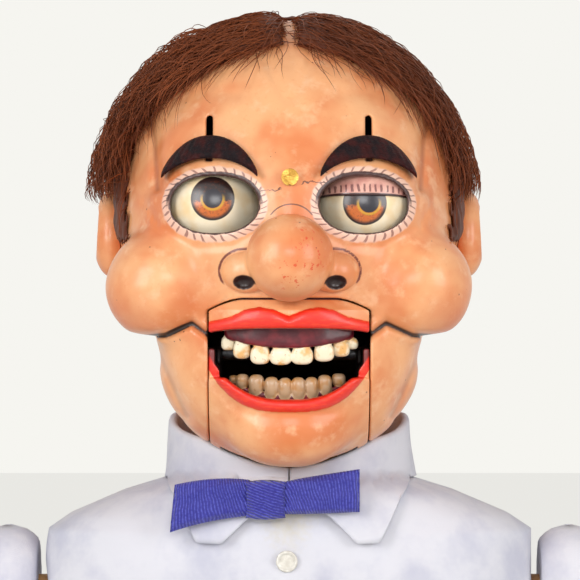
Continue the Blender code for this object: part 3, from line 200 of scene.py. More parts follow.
def add_mesh(name, points, groups, look, body, slot, replaces=(), lift=HEAD_Z, smooth=True, **values):
    points = np.asarray(points, float)
    mesh = bpy.data.meshes.new(name)
    mesh.vertices.add(len(points))
    mesh.vertices.foreach_set("co", ((points + (0, 0, lift)) * 0.001).ravel())
    groups = [np.asarray(g) for g in groups if len(g)]
    loops = np.concatenate([g.ravel() for g in groups])
    sizes = np.concatenate([np.full(len(g), g.shape[1]) for g in groups])
    mesh.loops.add(len(loops))
    mesh.loops.foreach_set("vertex_index", loops.astype(np.int32))
    mesh.polygons.add(len(sizes))
    mesh.polygons.foreach_set("loop_start", (np.cumsum(sizes) - sizes).astype(np.int32))
    mesh.update(calc_edges=True)
    mesh.validate()
    if smooth:
        mesh.shade_smooth()
    rest = mesh.attributes.new("rest", "FLOAT_VECTOR", "POINT")
    rest.data.foreach_set("vector", points.astype(np.float32).ravel())
    for key, value in values.items():
        mesh.attributes.new(key, "FLOAT", "POINT").data.foreach_set("value", np.asarray(value, np.float32))
    obj = bpy.data.objects.new(name, mesh)
    bpy.context.scene.collection.objects.link(obj)
    obj.data.materials.append(look)
    if body:
        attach(obj, body)
    if replaces:
        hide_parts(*replaces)
    return obj


def add_surface(name, field, axes, look, body, slot, replaces=(), lift=HEAD_Z, values=None):
    points, groups = surface(field, axes)
    extra = values(points.astype(np.float32)) if values else {}
    return add_mesh(name, points, groups, look, body, slot, replaces, lift, **extra)


def tube(points, radii, sides=10, caps=True):
    """A round tube through the points, as points and faces."""
    points = np.asarray(points, float)
    radii = np.broadcast_to(radii, len(points))
    along = np.gradient(points, axis=0)
    along /= np.linalg.norm(along, axis=1)[:, None]
    side = np.cross(along, (0.31, 0.17, 0.93))
    side /= np.linalg.norm(side, axis=1)[:, None]
    up = np.cross(along, side)
    turn = np.arange(sides) * 2 * math.pi / sides
    ring = points[:, None] + radii[:, None, None] * (
        side[:, None] * np.cos(turn)[:, None] + up[:, None] * np.sin(turn)[:, None]
    )
    n = len(points)
    i, j = np.meshgrid(np.arange(n - 1), np.arange(sides), indexing="ij")
    k = (j + 1) % sides
    corners = [i * sides + j, i * sides + k, (i + 1) * sides + k, (i + 1) * sides + j]
    quads = np.stack(corners, -1).reshape(-1, 4)
    out = [quads[:, ::-1]]
    spots = ring.reshape(-1, 3)
    if caps:
        spots = np.concatenate([spots, points[:1], points[-1:]])
        j = np.arange(sides)
        k = (j + 1) % sides
        first = np.stack([j, k, np.full(sides, n * sides)], -1)
        last = np.stack([(n - 1) * sides + k, (n - 1) * sides + j, np.full(sides, n * sides + 1)], -1)
        out.append(np.concatenate([first, last])[:, ::-1])
    return spots, out


def merged(parts):
    """Several (points, face groups) pairs as one."""
    spots, by_size, base = [], {}, 0
    for points, groups in parts:
        spots.append(points)
        for g in groups:
            g = np.asarray(g)
            if len(g):
                by_size.setdefault(g.shape[1], []).append(g + base)
        base += len(points)
    return np.concatenate(spots), [np.concatenate(g) for g in by_size.values()]


def grid_faces(rows, columns, closed):
    last = columns if closed else columns - 1
    i, j = np.meshgrid(np.arange(rows - 1), np.arange(last), indexing="ij")
    k = (j + 1) % columns
    return np.stack([i * columns + j, i * columns + k, (i + 1) * columns + k, (i + 1) * columns + j], -1)


def add_cloth(name, grid, look, body, slot, replaces=(), thick=0.9, closed=True, keep=None, **values):
    """A sheet through a grid of points, thickened inwards, with the cells left out that keep leaves out."""
    rows, columns = grid.shape[:2]
    faces = grid_faces(rows, columns, closed)
    if keep is not None:
        faces = faces[keep[: faces.shape[0], : faces.shape[1]]]
    faces = faces.reshape(-1, 4)
    obj = add_mesh(name, grid.reshape(-1, 3), [faces], look, None, slot, (), 0.0, **values)
    solid = obj.modifiers.new("thickness", "SOLIDIFY")
    solid.thickness = thick * 0.001
    solid.offset = -1
    bpy.context.view_layer.update()
    evaluated = obj.evaluated_get(bpy.context.evaluated_depsgraph_get())
    done = bpy.data.meshes.new_from_object(evaluated)
    obj.modifiers.clear()
    obj.data = done
    if body:
        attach(obj, body)
    if replaces:
        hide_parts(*replaces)
    return obj


# ---------------------------------------------------------------- materials


def colour(r, g, b):
    """A colour written as the three bytes of its sRGB value, as Blender's linear one."""
    shares = [c / 255 for c in (r, g, b)]
    return tuple(c / 12.92 if c <= 0.04 else ((c + 0.055) / 1.055) ** 2.4 for c in shares) + (1.0,)


class Look:
    """A Principled material with short names for the nodes it is built from."""

    def __init__(self, name, **settings):
        self.material = bpy.data.materials.new(name)
        self.material.use_nodes = True
        self.tree = self.material.node_tree
        self.shader = self.tree.nodes["Principled BSDF"]
        for key, value in settings.items():
            self.shader.inputs[key.replace("_", " ")].default_value = value

    def put(self, socket, value):
        if isinstance(value, bpy.types.NodeSocket):
            self.tree.links.new(value, socket)
        else:
            socket.default_value = value

    def math(self, kind, a, b=0.0, c=0.0):
        node = self.tree.nodes.new("ShaderNodeMath")
        node.operation = kind
        for socket, value in zip(node.inputs, (a, b, c)):
            self.put(socket, value)
        return node.outputs[0]

    def plus(self, a, b):
        return self.math("ADD", a, b)

    def minus(self, a, b):
        return self.math("SUBTRACT", a, b)

    def times(self, a, b):
        return self.math("MULTIPLY", a, b)

    def value(self, name):
        node = self.tree.nodes.new("ShaderNodeAttribute")
        node.attribute_name = name
        return node.outputs["Fac"]

    def rest(self):
        node = self.tree.nodes.new("ShaderNodeAttribute")
        node.attribute_name = "rest"
        return node.outputs["Vector"]

    def place(self, scale=1000.0):
        """The object's own coordinates, in millimetres, for a carried-over node."""
        node = self.tree.nodes.new("ShaderNodeTexCoord")
        times = self.tree.nodes.new("ShaderNodeVectorMath")
        times.operation = "SCALE"
        self.tree.links.new(node.outputs["Object"], times.inputs[0])
        times.inputs["Scale"].default_value = scale
        return times.outputs[0]

    def stretched(self, where, x, y, z):
        node = self.tree.nodes.new("ShaderNodeVectorMath")
        node.operation = "MULTIPLY"
        self.tree.links.new(where, node.inputs[0])
        node.inputs[1].default_value = (x, y, z)
        return node.outputs[0]

    def parts(self, where):
        node = self.tree.nodes.new("ShaderNodeSeparateXYZ")
        self.tree.links.new(where, node.inputs[0])
        return node.outputs

    def noise(self, where, size, detail=3.0, rough=0.5):
        node = self.tree.nodes.new("ShaderNodeTexNoise")
        self.tree.links.new(where, node.inputs["Vector"])
        node.inputs["Scale"].default_value = 1 / size
        node.inputs["Detail"].default_value = detail
        node.inputs["Roughness"].default_value = rough
        return node.outputs["Fac"]

    def cells(self, where, size):
        node = self.tree.nodes.new("ShaderNodeTexVoronoi")
        self.tree.links.new(where, node.inputs["Vector"])
        node.inputs["Scale"].default_value = 1 / size
        return node.outputs["Distance"]

    def beat(self, value):
        """0.5 at whole numbers of a positive or small negative value, and 0 half way between them."""
        return self.math("ABSOLUTE", self.minus(self.math("FRACT", self.plus(value, 40.0)), 0.5))

    def step(self, value, low, high):
        node = self.tree.nodes.new("ShaderNodeMapRange")
        node.interpolation_type = "SMOOTHSTEP"
        self.put(node.inputs["Value"], value)
        for key, number in zip(("From Min", "From Max", "To Min", "To Max"), (low, high, 0.0, 1.0)):
            node.inputs[key].default_value = number
        return node.outputs["Result"]

    def mix(self, share, a, b, kind="MIX"):
        node = self.tree.nodes.new("ShaderNodeMix")
        node.data_type = "RGBA"
        node.blend_type = kind
        self.put(node.inputs[0], share)
        self.put(node.inputs[6], a)
        self.put(node.inputs[7], b)
        return node.outputs[2]

    def finish(self, paint=None, height=None, distance=0.0005, strength=1.0, rough=None):
        if paint is not None:
            self.put(self.shader.inputs["Base Color"], paint)
        if rough is not None:
            self.put(self.shader.inputs["Roughness"], rough)
        if height is not None:
            bump = self.tree.nodes.new("ShaderNodeBump")
            bump.inputs["Distance"].default_value = distance
            bump.inputs["Strength"].default_value = strength
            self.put(bump.inputs["Height"], height)
            self.tree.links.new(bump.outputs[0], self.shader.inputs["Normal"])
        return self.material


PEACH = colour(244, 178, 124)
DEEP = colour(224, 128, 72)
PALE = colour(250, 204, 160)
RED = colour(232, 34, 8)
LASHES = 34  # painted strokes round each eye
NOSE_AT, NOSE_RADIUS = (0.4, -93, 14.4), 19.6
NOSE_SOCKET = 20.2  # radius the upper lip is cut back to behind the nose
CAMERA_AWAY = 1400  # from the lens to the face
SHOWN_WIDE = 580 * 0.45  # what the picture takes in across, at the face


def skin_paint(look, where):
    """Mottled, slightly worn flesh paint, and the height of its brush marks."""
    broad = look.noise(where, 38, 3, 0.55)
    middle = look.noise(where, 9, 4, 0.6)
    fine = look.noise(where, 1.6, 3, 0.6)
    paint = look.mix(look.step(broad, 0.35, 0.68), PEACH, DEEP)
    paint = look.mix(look.times(look.step(middle, 0.5, 0.75), 0.5), paint, PALE)
    paint = look.mix(look.times(look.step(fine, 0.56, 0.72), 0.22), paint, DEEP)
    specks = look.math("LESS_THAN", look.cells(where, 5.5), 0.085)
    rare = look.step(look.noise(where, 14, 2), 0.55, 0.62)
    specks = look.times(specks, rare)
    paint = look.mix(look.times(specks, 0.75), paint, colour(120, 62, 36))
    height = look.plus(look.times(middle, 0.5), look.times(fine, 0.12))
    return paint, height


def skin_look(name, extra=None):
    look = Look(name, Roughness=0.44, Coat_Weight=0.35, Coat_Roughness=0.2)
    where = look.rest()
    paint, height = skin_paint(look, where)
    # Darker brown where the crease value is high: painted shade in the carved creases and where nose ball,
    # nose wings and ears meet the face; on the face it also draws the dark outline round the nose wings.
    paint = look.mix(look.step(look.value("crease"), 1.1, 2.9), paint, colour(112, 42, 20))
    if extra:
        paint, height = extra(look, where, paint, height)
    return look.finish(paint, height, 0.0006, 0.6)


def face_extra(look, where, paint, height):
    """Blush with painted shade low on the outer cheeks, painted shade on the lower sides of the head and
    inside it, and the painted rims and lashes round the eyes.
    """
    x, y, z = look.parts(where)
    across = look.math("ABSOLUTE", x)
    # Deeper orange low on the outer cheeks: part blush, part painted shade where the cheek turns down and
    # away.
    low = look.times(look.step(z, 6, -16), look.step(across, 52, 78))
    paint = look.mix(look.times(low, 0.55), paint, colour(208, 104, 62))
    # Darker and duller on the lower sides of the head, towards the back: painted shade.
    side = look.times(look.step(z, -20, -52), look.step(y, -50, -20))
    paint = look.mix(look.times(side, 0.4), paint, colour(190, 110, 78))
    rim = look.value("rim")
    wobble = look.times(look.minus(look.noise(where, 3, 2), 0.5), 1.6)
    edge = look.plus(rim, wobble)
    near_front = look.step(y, -52, -60)
    band = look.times(look.times(look.step(edge, 4.8, 3.6), near_front), 0.85)
    paint = look.mix(band, paint, colour(246, 205, 184))
    turn = look.math(
        "ARCTAN2",
        look.math("DIVIDE", look.minus(z, float(EYE[2])), OPENING[1]),
        look.math("DIVIDE", look.minus(across, float(EYE[0])), OPENING[0]),
    )
    lean = look.times(turn, LASHES / (2 * math.pi))
    lean = look.plus(lean, look.times(rim, 0.17))
    lean = look.plus(lean, look.times(look.noise(where, 6, 1), 0.9))
    beat = look.beat(lean)
    stroke = look.times(look.step(beat, 0.17, 0.09), look.step(edge, 4.6, 3.4))
    stroke = look.times(stroke, look.step(edge, 0.6, 1.3))
    stroke = look.times(stroke, near_front)
    paint = look.mix(look.times(stroke, 0.7), paint, colour(112, 44, 44))
    above = look.step(z, 36, 42)
    liner = look.times(look.times(look.step(edge, 2.3, 1.7), near_front), above)
    paint = look.mix(liner, paint, colour(58, 20, 18))
    under = look.times(look.step(edge, 1.0, 0.5), near_front)
    paint = look.mix(under, paint, colour(70, 34, 28))
    aside = look.math("POWER", look.minus(x, 1.1), 2.0)
    above = look.math("POWER", look.minus(z, 26.9), 2.0)
    seam = look.math("SQRT", look.plus(aside, above))
    seam = look.math("ABSOLUTE", look.minus(seam, 11.4))
    seam = look.times(look.step(seam, 0.45, 0.15), look.step(z, 33.0, 34.0))
    wiggle = look.times(look.minus(look.noise(where, 3.2, 2), 0.5), 5.0)
    for height_at, start, end in ((44.6, -17.5, -4.0), (48.0, 5.0, 17.0)):
        line = look.math("ABSOLUTE", look.minus(look.plus(z, wiggle), height_at))
        line = look.times(look.step(line, 0.4, 0.12), look.step(x, start, start + 1))
        seam = look.math("MAXIMUM", seam, look.times(line, look.step(x, end + 1, end)))
    seam = look.times(seam, look.step(y, -60, -66))
    paint = look.mix(look.times(seam, 0.85), paint, colour(60, 26, 18))
    # Inner surfaces of the hollow head, seen through its openings, painted near black: dark wood darkened
    # further as painted shade.
    inside = look.step(look.value("inside"), 0.2, 0.6)
    paint = look.mix(inside, paint, colour(46, 26, 18))
    return paint, height


def lip_extra(look, where, paint, height):
    """Red lips painted up to a slightly uneven edge, darker red underneath as painted shade, and near black
    inside as painted shade.
    """
    edge = look.value("lip")
    wobble = look.minus(look.noise(where, 2.2, 3), 0.5)
    uneven = look.plus(edge, look.times(wobble, 0.9))
    streaks = look.noise(look.stretched(where, 1, 1, 5), 5, 3)
    red = look.mix(look.step(streaks, 0.45, 0.7), RED, colour(242, 56, 18))
    # Darker red where the under value is high: painted shade under the upper lip and inside the lower lip.
    red = look.mix(look.step(look.value("under"), 0.3, 0.9), red, colour(120, 40, 38))
    paint = look.mix(look.step(uneven, 0.15, -0.15), paint, red)
    # Backs and inner surfaces of the lip pieces painted near black: painted shade in the mouth.
    inside = look.step(look.value("inside"), 0.2, 0.6)
    paint = look.mix(inside, paint, colour(30, 12, 10))
    return paint, height


def nose_extra(look, where, paint, height):
    """Worn flecks of red and orange on the ball of the nose, and nostrils painted near black as painted
    shade.
    """
    x, y, z = look.parts(where)
    flecks = look.step(look.noise(where, 2.4, 4, 0.65), 0.58, 0.62)
    spot = look.times(look.step(x, 0, 5), look.step(x, 19, 12))
    spot = look.times(spot, look.times(look.step(z, 4, 10), look.step(z, 31, 24)))
    second = look.times(look.step(x, -6, -2), look.step(x, 9, 4))
    second = look.times(second, look.times(look.step(z, -2, 3), look.step(z, 16, 10)))
    share = look.times(flecks, look.math("MAXIMUM", spot, second))
    paint = look.mix(look.times(share, 0.9), paint, colour(222, 74, 30))
    shade = look.times(look.step(z, 10, -6), 0.5)
    paint = look.mix(shade, paint, colour(196, 112, 70))
    # The carved nostrils painted near black: painted shade inside the holes.
    paint = look.mix(look.step(look.value("hole"), 0.3, 0.8), paint, colour(40, 12, 8))
    return paint, height


def simple_look(name, dark, light, size, rough=0.5, metal=0.0, stretch=(1, 1, 1), coat=0.0, own=False):
    """Two mottled tones; own is for pieces that have the rest attribute, as carried-over nodes don't."""
    look = Look(name, Metallic=metal, Coat_Weight=coat, Coat_Roughness=0.15)
    where = look.rest() if own else look.place()
    where = look.stretched(where, *stretch)
    broad = look.noise(where, size, 4, 0.6)
    fine = look.noise(where, size / 7, 3, 0.6)
    paint = look.mix(look.step(broad, 0.35, 0.68), dark, light)
    paint = look.mix(look.times(look.step(fine, 0.5, 0.7), 0.25), paint, dark)
    worn = look.plus(rough - 0.06, look.times(fine, 0.12))
    return look.finish(paint, fine, 0.0002, 0.7, worn)


def eye_look():
    """A glossy painted ball: cream white, orange-brown iris with a dark outer ring, violet pupil."""
    look = Look("eye_paint", Roughness=0.3, Coat_Weight=0.5, Coat_Roughness=0.22)
    where = look.rest()
    iris, turn, pupil = look.value("iris"), look.value("turn"), look.value("pupil")
    streak = look.noise(where, 1.1, 4, 0.7)
    broad = look.noise(where, 12, 3)
    white = look.mix(look.step(broad, 0.4, 0.7), colour(250, 234, 204), colour(244, 212, 160))
    low = look.step(look.plus(turn, look.times(streak, 5.0)), 2.0, 0.2)
    brown = look.mix(low, colour(40, 24, 24), colour(204, 104, 34))
    brown = look.mix(look.times(look.step(streak, 0.5, 0.62), 0.5), brown, colour(96, 44, 22))
    brown = look.mix(look.step(iris, 7.6, 9.4), brown, colour(44, 24, 22))
    ring = look.times(look.step(pupil, 6.0, 5.0), look.step(pupil, 4.2, 4.7))
    ring = look.times(ring, look.step(turn, 2.5, -1.0))
    brown = look.mix(look.times(ring, 0.75), brown, colour(214, 166, 44))
    brown = look.mix(look.step(pupil, 4.6, 4.1), brown, colour(30, 26, 38))
    paint = look.mix(look.step(iris, 10.1, 9.7), white, brown)
    return look.finish(paint, broad, 0.0002, 0.3)


def lid_look():
    look = Look("lid_paint", Roughness=0.35, Coat_Weight=0.5, Coat_Roughness=0.12)
    where = look.rest()
    edge, along = look.value("edge"), look.value("along")
    blotch = look.noise(where, 5, 3)
    paint = look.mix(look.step(blotch, 0.4, 0.65), colour(232, 176, 158), colour(214, 150, 136))
    lean = look.plus(look.times(along, 0.36), look.times(blotch, 0.8))
    beat = look.beat(lean)
    stroke = look.times(look.step(beat, 0.22, 0.15), look.step(edge, 5.5, 4.5))
    stroke = look.times(stroke, look.step(edge, 1.2, 1.8))
    paint = look.mix(look.times(stroke, 0.8), paint, colour(96, 44, 46))
    paint = look.mix(look.step(edge, 1.3, 0.8), paint, colour(60, 28, 28))
    return look.finish(paint, blotch, 0.0003, 0.4)


def brow_look():
    look = Look("brow_paint", Roughness=0.34, Specular_IOR_Level=0.12)
    where = look.rest()
    hair = look.noise(look.stretched(where, 1, 0.6, 2.4), 1.6, 3, 0.6)
    broad = look.noise(where, 6, 3)
    paint = look.mix(look.step(broad, 0.4, 0.7), colour(20, 6, 11), colour(58, 14, 12))
    paint = look.mix(look.times(look.step(hair, 0.55, 0.7), 0.3), paint, colour(84, 40, 36))
    paint = look.mix(look.step(look.value("metal"), 0.4, 0.6), paint, colour(60, 50, 44))
    return look.finish(paint, hair, 0.0007, 0.8)


def tooth_look():
    look = Look("tooth_paint", Roughness=0.3, Specular_IOR_Level=0.4, Coat_Weight=0.2, Coat_Roughness=0.1)
    where = look.rest()
    gum, low = look.value("gum"), look.value("low")
    blotch = look.noise(where, 5.5, 2, 0.5)
    tooth = look.mix(look.step(blotch, 0.47, 0.66), colour(249, 236, 204), colour(238, 186, 116))
    pits = look.step(look.noise(where, 1.4, 3), 0.64, 0.7)
    tooth = look.mix(look.times(pits, 0.5), tooth, colour(170, 100, 46))
    # The lower row, where low is 1, painted a darker tan: painted shade, as it sits further back in the
    # mouth.
    tooth = look.mix(look.times(low, 0.72), tooth, colour(180, 122, 70))
    flesh = look.mix(look.step(blotch, 0.4, 0.65), colour(92, 20, 34), colour(128, 36, 46))
    paint = look.mix(look.step(gum, 0.4, 0.6), tooth, flesh)
    # Surfaces behind the tooth rows painted near black: painted shade in the mouth.
    paint = look.mix(look.step(look.value("inside"), 0.3, 0.7), paint, colour(40, 14, 14))
    return look.finish(paint, blotch, 0.0004, 0.5)


def hair_look():
    look = Look("hair", Roughness=0.5, Specular_IOR_Level=0.22)
    where = look.rest()
    tint, tip = look.value("tint"), look.value("tip")
    paint = look.mix(tint, colour(66, 28, 16), colour(150, 76, 38))
    locks = look.step(look.noise(where, 16, 2), 0.45, 0.65)
    paint = look.mix(look.times(locks, 0.4), paint, colour(116, 58, 32))
    paint = look.mix(look.times(tip, 0.3), paint, colour(150, 84, 50))
    return look.finish(paint)


def cloth_look(name, base, shade, weave=0.55, rough=0.85, stain=None, sheen=0.15):
    look = Look(name, Roughness=rough, Sheen_Weight=sheen)
    where = look.rest()
    x, y, z = look.parts(where)
    round_it = look.times(look.math("ARCTAN2", x, y), 90.0)
    warp = look.math("SINE", look.times(round_it, 2 * math.pi / weave))
    weft = look.math("SINE", look.times(z, 2 * math.pi / weave))
    thread = look.times(warp, weft)
    broad = look.noise(where, 30, 4, 0.6)
    fine = look.noise(where, 2.5, 3)
    paint = look.mix(look.step(broad, 0.4, 0.7), base, shade)
    paint = look.mix(look.times(look.step(thread, 0.0, 1.0), 0.12), paint, shade)
    if stain:
        spot = look.plus(look.value("stain"), look.times(fine, 0.3))
        spot = look.step(spot, 0.55, 0.95)
        paint = look.mix(look.times(spot, 0.5), paint, stain)
    height = look.plus(look.times(thread, 0.25), fine)
    return look.finish(paint, height, 0.0002, 0.6)


def tie_look():
    """Blue ribbed ribbon: ribs across the length of the bow, painted paler on their tops as painted
    highlight and darker between them as painted shade.
    """
    look = Look("ribbed_ribbon", Roughness=0.55, Sheen_Weight=0.25)
    where = look.rest()
    wavy = look.times(look.noise(where, 9, 2), 2.4)
    rib = look.plus(look.value("rib"), wavy)
    rib = look.math("SINE", look.times(rib, 2 * math.pi / 1.35))
    broken = look.noise(look.stretched(where, 2, 1, 2), 2.0, 3)
    paint = look.mix(look.step(broken, 0.4, 0.7), colour(46, 44, 160), colour(60, 62, 178))
    # Paler on the tops of the ribs: painted highlight.
    rib_highlight = look.times(look.step(rib, 0.1, 0.9), look.step(broken, 0.3, 0.6))
    paint = look.mix(look.times(rib_highlight, 0.55), paint, colour(104, 110, 206))
    # Darker blue in the troughs between the ribs: painted shade.
    paint = look.mix(look.times(look.step(rib, -0.3, -0.95), 0.5), paint, colour(28, 24, 112))
    return look.finish(paint, rib, 0.00035, 0.8)


# ---------------------------------------------------------------- head


def head_values(p):
    base = head_base(p)
    wing = nose_parts(p)[1]
    # A dark outline on the face round each nose wing.
    outline = 3.4 * np.exp(-(((wing - 0.9) / 0.75) ** 2)) * (p[:, 1] < -60)
    outline = outline * np.clip((p[:, 2] - 1) / 3, 0, 1)
    # Crease depths join the outline as the crease value, which the skin paint darkens: painted shade along
    # the creases.
    dark = np.maximum(creases(p), outline)
    # inside marks the inner surfaces of the hollow head, which the paint darkens to near black as painted
    # shade.
    return {"crease": dark, "rim": almond(p), "inside": np.clip(-base - 1.8, 0, 1)}


def head_field(p):
    base = head_base(p)
    outer = base + creases(p) - swells(p) * np.clip(-p[:, 1] / 20, 0, 1) * 0.8
    d = np.maximum(outer, -(base + WALL))
    m = mirrored(p)
    x, y, z = m[:, 0], p[:, 1], p[:, 2]
    d = smax(d, -(ball(m, EYE, SOCKET_RADIUS)), 0.5)
    d = smax(d, -np.maximum(almond(p), y + 50), 0.9)
    d = smax(d, -np.maximum(np.maximum(x - 36.75, y + 5.5), z - slot_top(x)), 0.4)
    groove = np.hypot(x - 36, np.clip(z - 78, 0, None)) - 1.5
    d = smax(d, -np.maximum(np.maximum(groove, 58 - z), y + 20), 0.5)
    d = np.maximum(d, -(np.hypot(p[:, 0] - NOSE_AT[0], z - NOSE_AT[2]) - 4.6 + np.clip(y + 50, 0, None)))
    d = np.maximum(d, -np.maximum(np.maximum(x - 42, -12 - z), np.maximum(z - 74, -y)))
    return np.maximum(d, -70 - z)


HEAD_AXES = (
    axis((-96, -60, 1.6), (-60, 60, 0.9), (60, 96, 1.6)),
    axis((-100, -45, 0.95), (-45, 96, 2.6)),
    axis((-72, -20, 1.25), (-20, 60, 0.9), (60, 90, 1.15), (90, 132, 2.4)),
)


def build_head(skin):
    add_surface(
        "face", head_field, HEAD_AXES, skin, "head", "painted_skin", ("head_shell",), values=head_values
    )


JAW_HALF = 36.4  # half the jaw's width
JAW_PIVOT = (-14, -30)  # y and z of the jaw's axle
JAW_SWEEP, SWEEP_LOW = 60.3, -39.5  # above SWEEP_LOW the lip keeps inside this radius about the axle


def lip_outer(x):
    return -54.8 + 19 * np.clip(np.abs(x) / 36.5, 0, 1) ** 3.2


def lip_inner(x):
    return -49.2 + 19.5 * np.clip(np.abs(x) / 36.2, 0, 1) ** 2.8


def lip_share(x, z):
    """0 at the lower lip's outer edge, 1 at its inner edge."""
    return (z - lip_outer(x)) / (lip_inner(x) - lip_outer(x))


def jaw_field(p):
    """The face's surface between two flat sides, hollowed from behind, with the lower lip rolled forward."""
    base = head_base(p, neck=False)
    x, y, z = np.abs(p[:, 0]), p[:, 1], p[:, 2]
    t = np.clip(lip_share(x, z), 0, 1)
    front = np.clip((-y - 60) / 8, 0, 1)
    roll = 2.6 * np.sqrt(np.clip(1 - (2 * t - 1) ** 2, 0, 1)) * front
    under = 0.5 * np.exp(-((z - lip_outer(x) + 2.6) / 3.0) ** 2)
    outer = base + 0.2 - roll + under * front - 0.5 * swells(p)
    radius = np.hypot(y - JAW_PIVOT[0], z - JAW_PIVOT[1])
    relief = np.minimum(radius - JAW_SWEEP, z - SWEEP_LOW)
    outer = smax(outer, relief, 2.0)
    d = smax(outer, x - JAW_HALF, 0.6)
    d = np.maximum(d, z + 26.5)
    hollow = np.maximum(np.minimum(base + 5.2, -46 - y), x - 31.4)
    d = smax(d, -hollow, 0.8)
    mouth = np.maximum(np.maximum(lip_inner(x) - z, x - 33.6), y + 44)
    d = smax(d, -mouth, 1.2)
    low = -37.5 + 1.29 * (y + 12) - z
    d = np.maximum(d, low * 0.61)
    ear = np.maximum(radius - 8, np.maximum(x - 36, 31.8 - x))
    d = smin(d, ear, 1.0)
    d = np.maximum(d, y + 6)
    return np.maximum(d, 3.3 - radius)


def jaw_values(p):
    base = head_base(p, neck=False)
    x, y, z = np.abs(p[:, 0]), p[:, 1], p[:, 2]
    inner = lip_inner(x)
    lip = np.maximum(lip_outer(x) - z, y + 62)
    # Inner surfaces of the jaw behind the lip, marked for the near-black painted shade.
    inside = np.clip((-base - 3.4) / 1.5, 0, 1) * (y > -79 + 0.006 * x**2)
    # Under value on the inner roll of the lower lip and the set-back surfaces: painted shade.
    under = np.clip((z - inner + 0.9) / 1.5, 0, 1) * 0.6 + np.clip((y + 76) / 6, 0, 1) * (z > -46)
    return {"crease": np.zeros(len(p)), "lip": lip, "inside": inside, "under": under}


def build_jaw(skin):
    axes = (axis((-37.6, 37.6, 0.72)), axis((-96, -48, 0.72), (-48, -4, 1.4)), axis((-87, -22, 0.72)))
    add_surface("jaw_paint", jaw_field, axes, skin, "jaw", "painted_skin", ("jaw",), values=jaw_values)


def red_top(x):
    """Height of the upper lip's red edge: a bow with a dip in its middle."""
    heights = (-11.5, -10.4, -8.7, -7.6, -8.9, -11.9, -13.2, -14.2)
    return np.interp(np.abs(x), (0, 3, 7, 13.5, 20, 26, 31, 36), heights)


def lip_bottom(x):
    return -17.5 - 1.9 * np.clip(np.abs(x) / 35.5, 0, 1) ** 4


def upper_lip_field(p):
    x, y, z = p[:, 0], p[:, 1], p[:, 2]
    a = x / 35.4
    top = -4.3 - 5.0 * np.clip((np.abs(x) - 21) / 15, 0, 1) ** 1.6
    rise = np.clip((z + 9) / 5, 0, 1)
    front = -91.0 + 12 * a**2 + 5.0 * rise
    t = np.clip((z - lip_bottom(x)) / (red_top(x) - lip_bottom(x)), 0, 1)
    front = front + 1.3 - 2.2 * np.sqrt(np.clip(1 - (2 * t - 1) ** 2, 0, 1))
    dent = 1.0 * np.exp(-((x / 2.2) ** 2)) * np.clip((z + 15) / 5, 0, 1)
    front = front + dent
    back = -87.2 + 12 * a**2 + 5.6 * np.clip((z + 10) / 5, 0, 1)
    d = smax(front - y, y - back, 1.2)
    d = smax(d, np.abs(x) - 36.2, 0.5)
    d = smax(d, z - top, 0.6)
    d = smax(d, lip_bottom(x) - z, 1.6)
    return np.maximum(d, -ball(p, NOSE_AT, NOSE_SOCKET)) * 0.8


def upper_lip_values(p):
    x, y, z = p[:, 0], p[:, 1], p[:, 2]
    # Back of the upper lip piece, marked for the near-black painted shade.
    behind = y + 88.6 - 12 * (x / 35.4) ** 2 - 5.0 * np.clip((z + 9) / 5, 0, 1)
    # Under value on the underside of the upper lip: painted shade.
    under = np.clip((lip_bottom(x) + 1.2 - z) / 1.2, 0, 1) * 0.9
    lip = z - red_top(x)
    return {"crease": np.zeros(len(p)), "lip": lip, "inside": np.clip(behind, 0, 1), "under": under}


def build_upper_lip(skin):
    axes = (axis((-36.6, 36.6, 0.55)), axis((-95, -68, 0.55)), axis((-22, -2, 0.5)))
    add_surface(
        "lip_paint", upper_lip_field, axes, skin, "upper_lip", "painted_skin", ("upper_lip",),
        values=upper_lip_values,
    )


def nose_parts(p):
    m = p.copy()
    m[:, 0] = np.abs(m[:, 0] - 0.4)
    tip = ball(p, NOSE_AT, NOSE_RADIUS)
    wing = ellipsoid(m, (18.8, -83, 8.3), (12.2, 11, 9.9))
    hole = ellipsoid(m, (21.2, -96, 2.4), (5.6, 8.6, 4.2))
    return tip, wing, hole, m


def nose_field(p):
    tip, wing, hole, m = nose_parts(p)
    d = smin(tip, wing, 2.2)
    d = smax(d, -hole, 1.0)
    d = np.maximum(d, -(head_base(p, neck=False) - 1.1))
    pin = np.maximum(np.hypot(p[:, 0] - NOSE_AT[0], p[:, 2] - NOSE_AT[2]) - 4.0, np.abs(p[:, 1] + 76) - 12)
    return np.minimum(d, pin)


def nose_values(p):
    tip, wing, hole, m = nose_parts(p)
    # Crease value along the join of nose ball and wing, painted darker: painted shade in the join.
    crease = np.clip(1.6 - np.abs(tip - wing), 0, 2) * 0.9 * (wing < 1.5)
    return {"crease": crease, "hole": np.clip(0.9 - hole / 0.9, 0, 1)}


def build_nose(skin):
    axes = (axis((-31, 32, 0.6)), axis((-114, -62, 0.6)), axis((-7, 36, 0.6)))
    add_surface("nose_paint", nose_field, axes, skin, "nose", "painted_skin", ("nose",), values=nose_values)


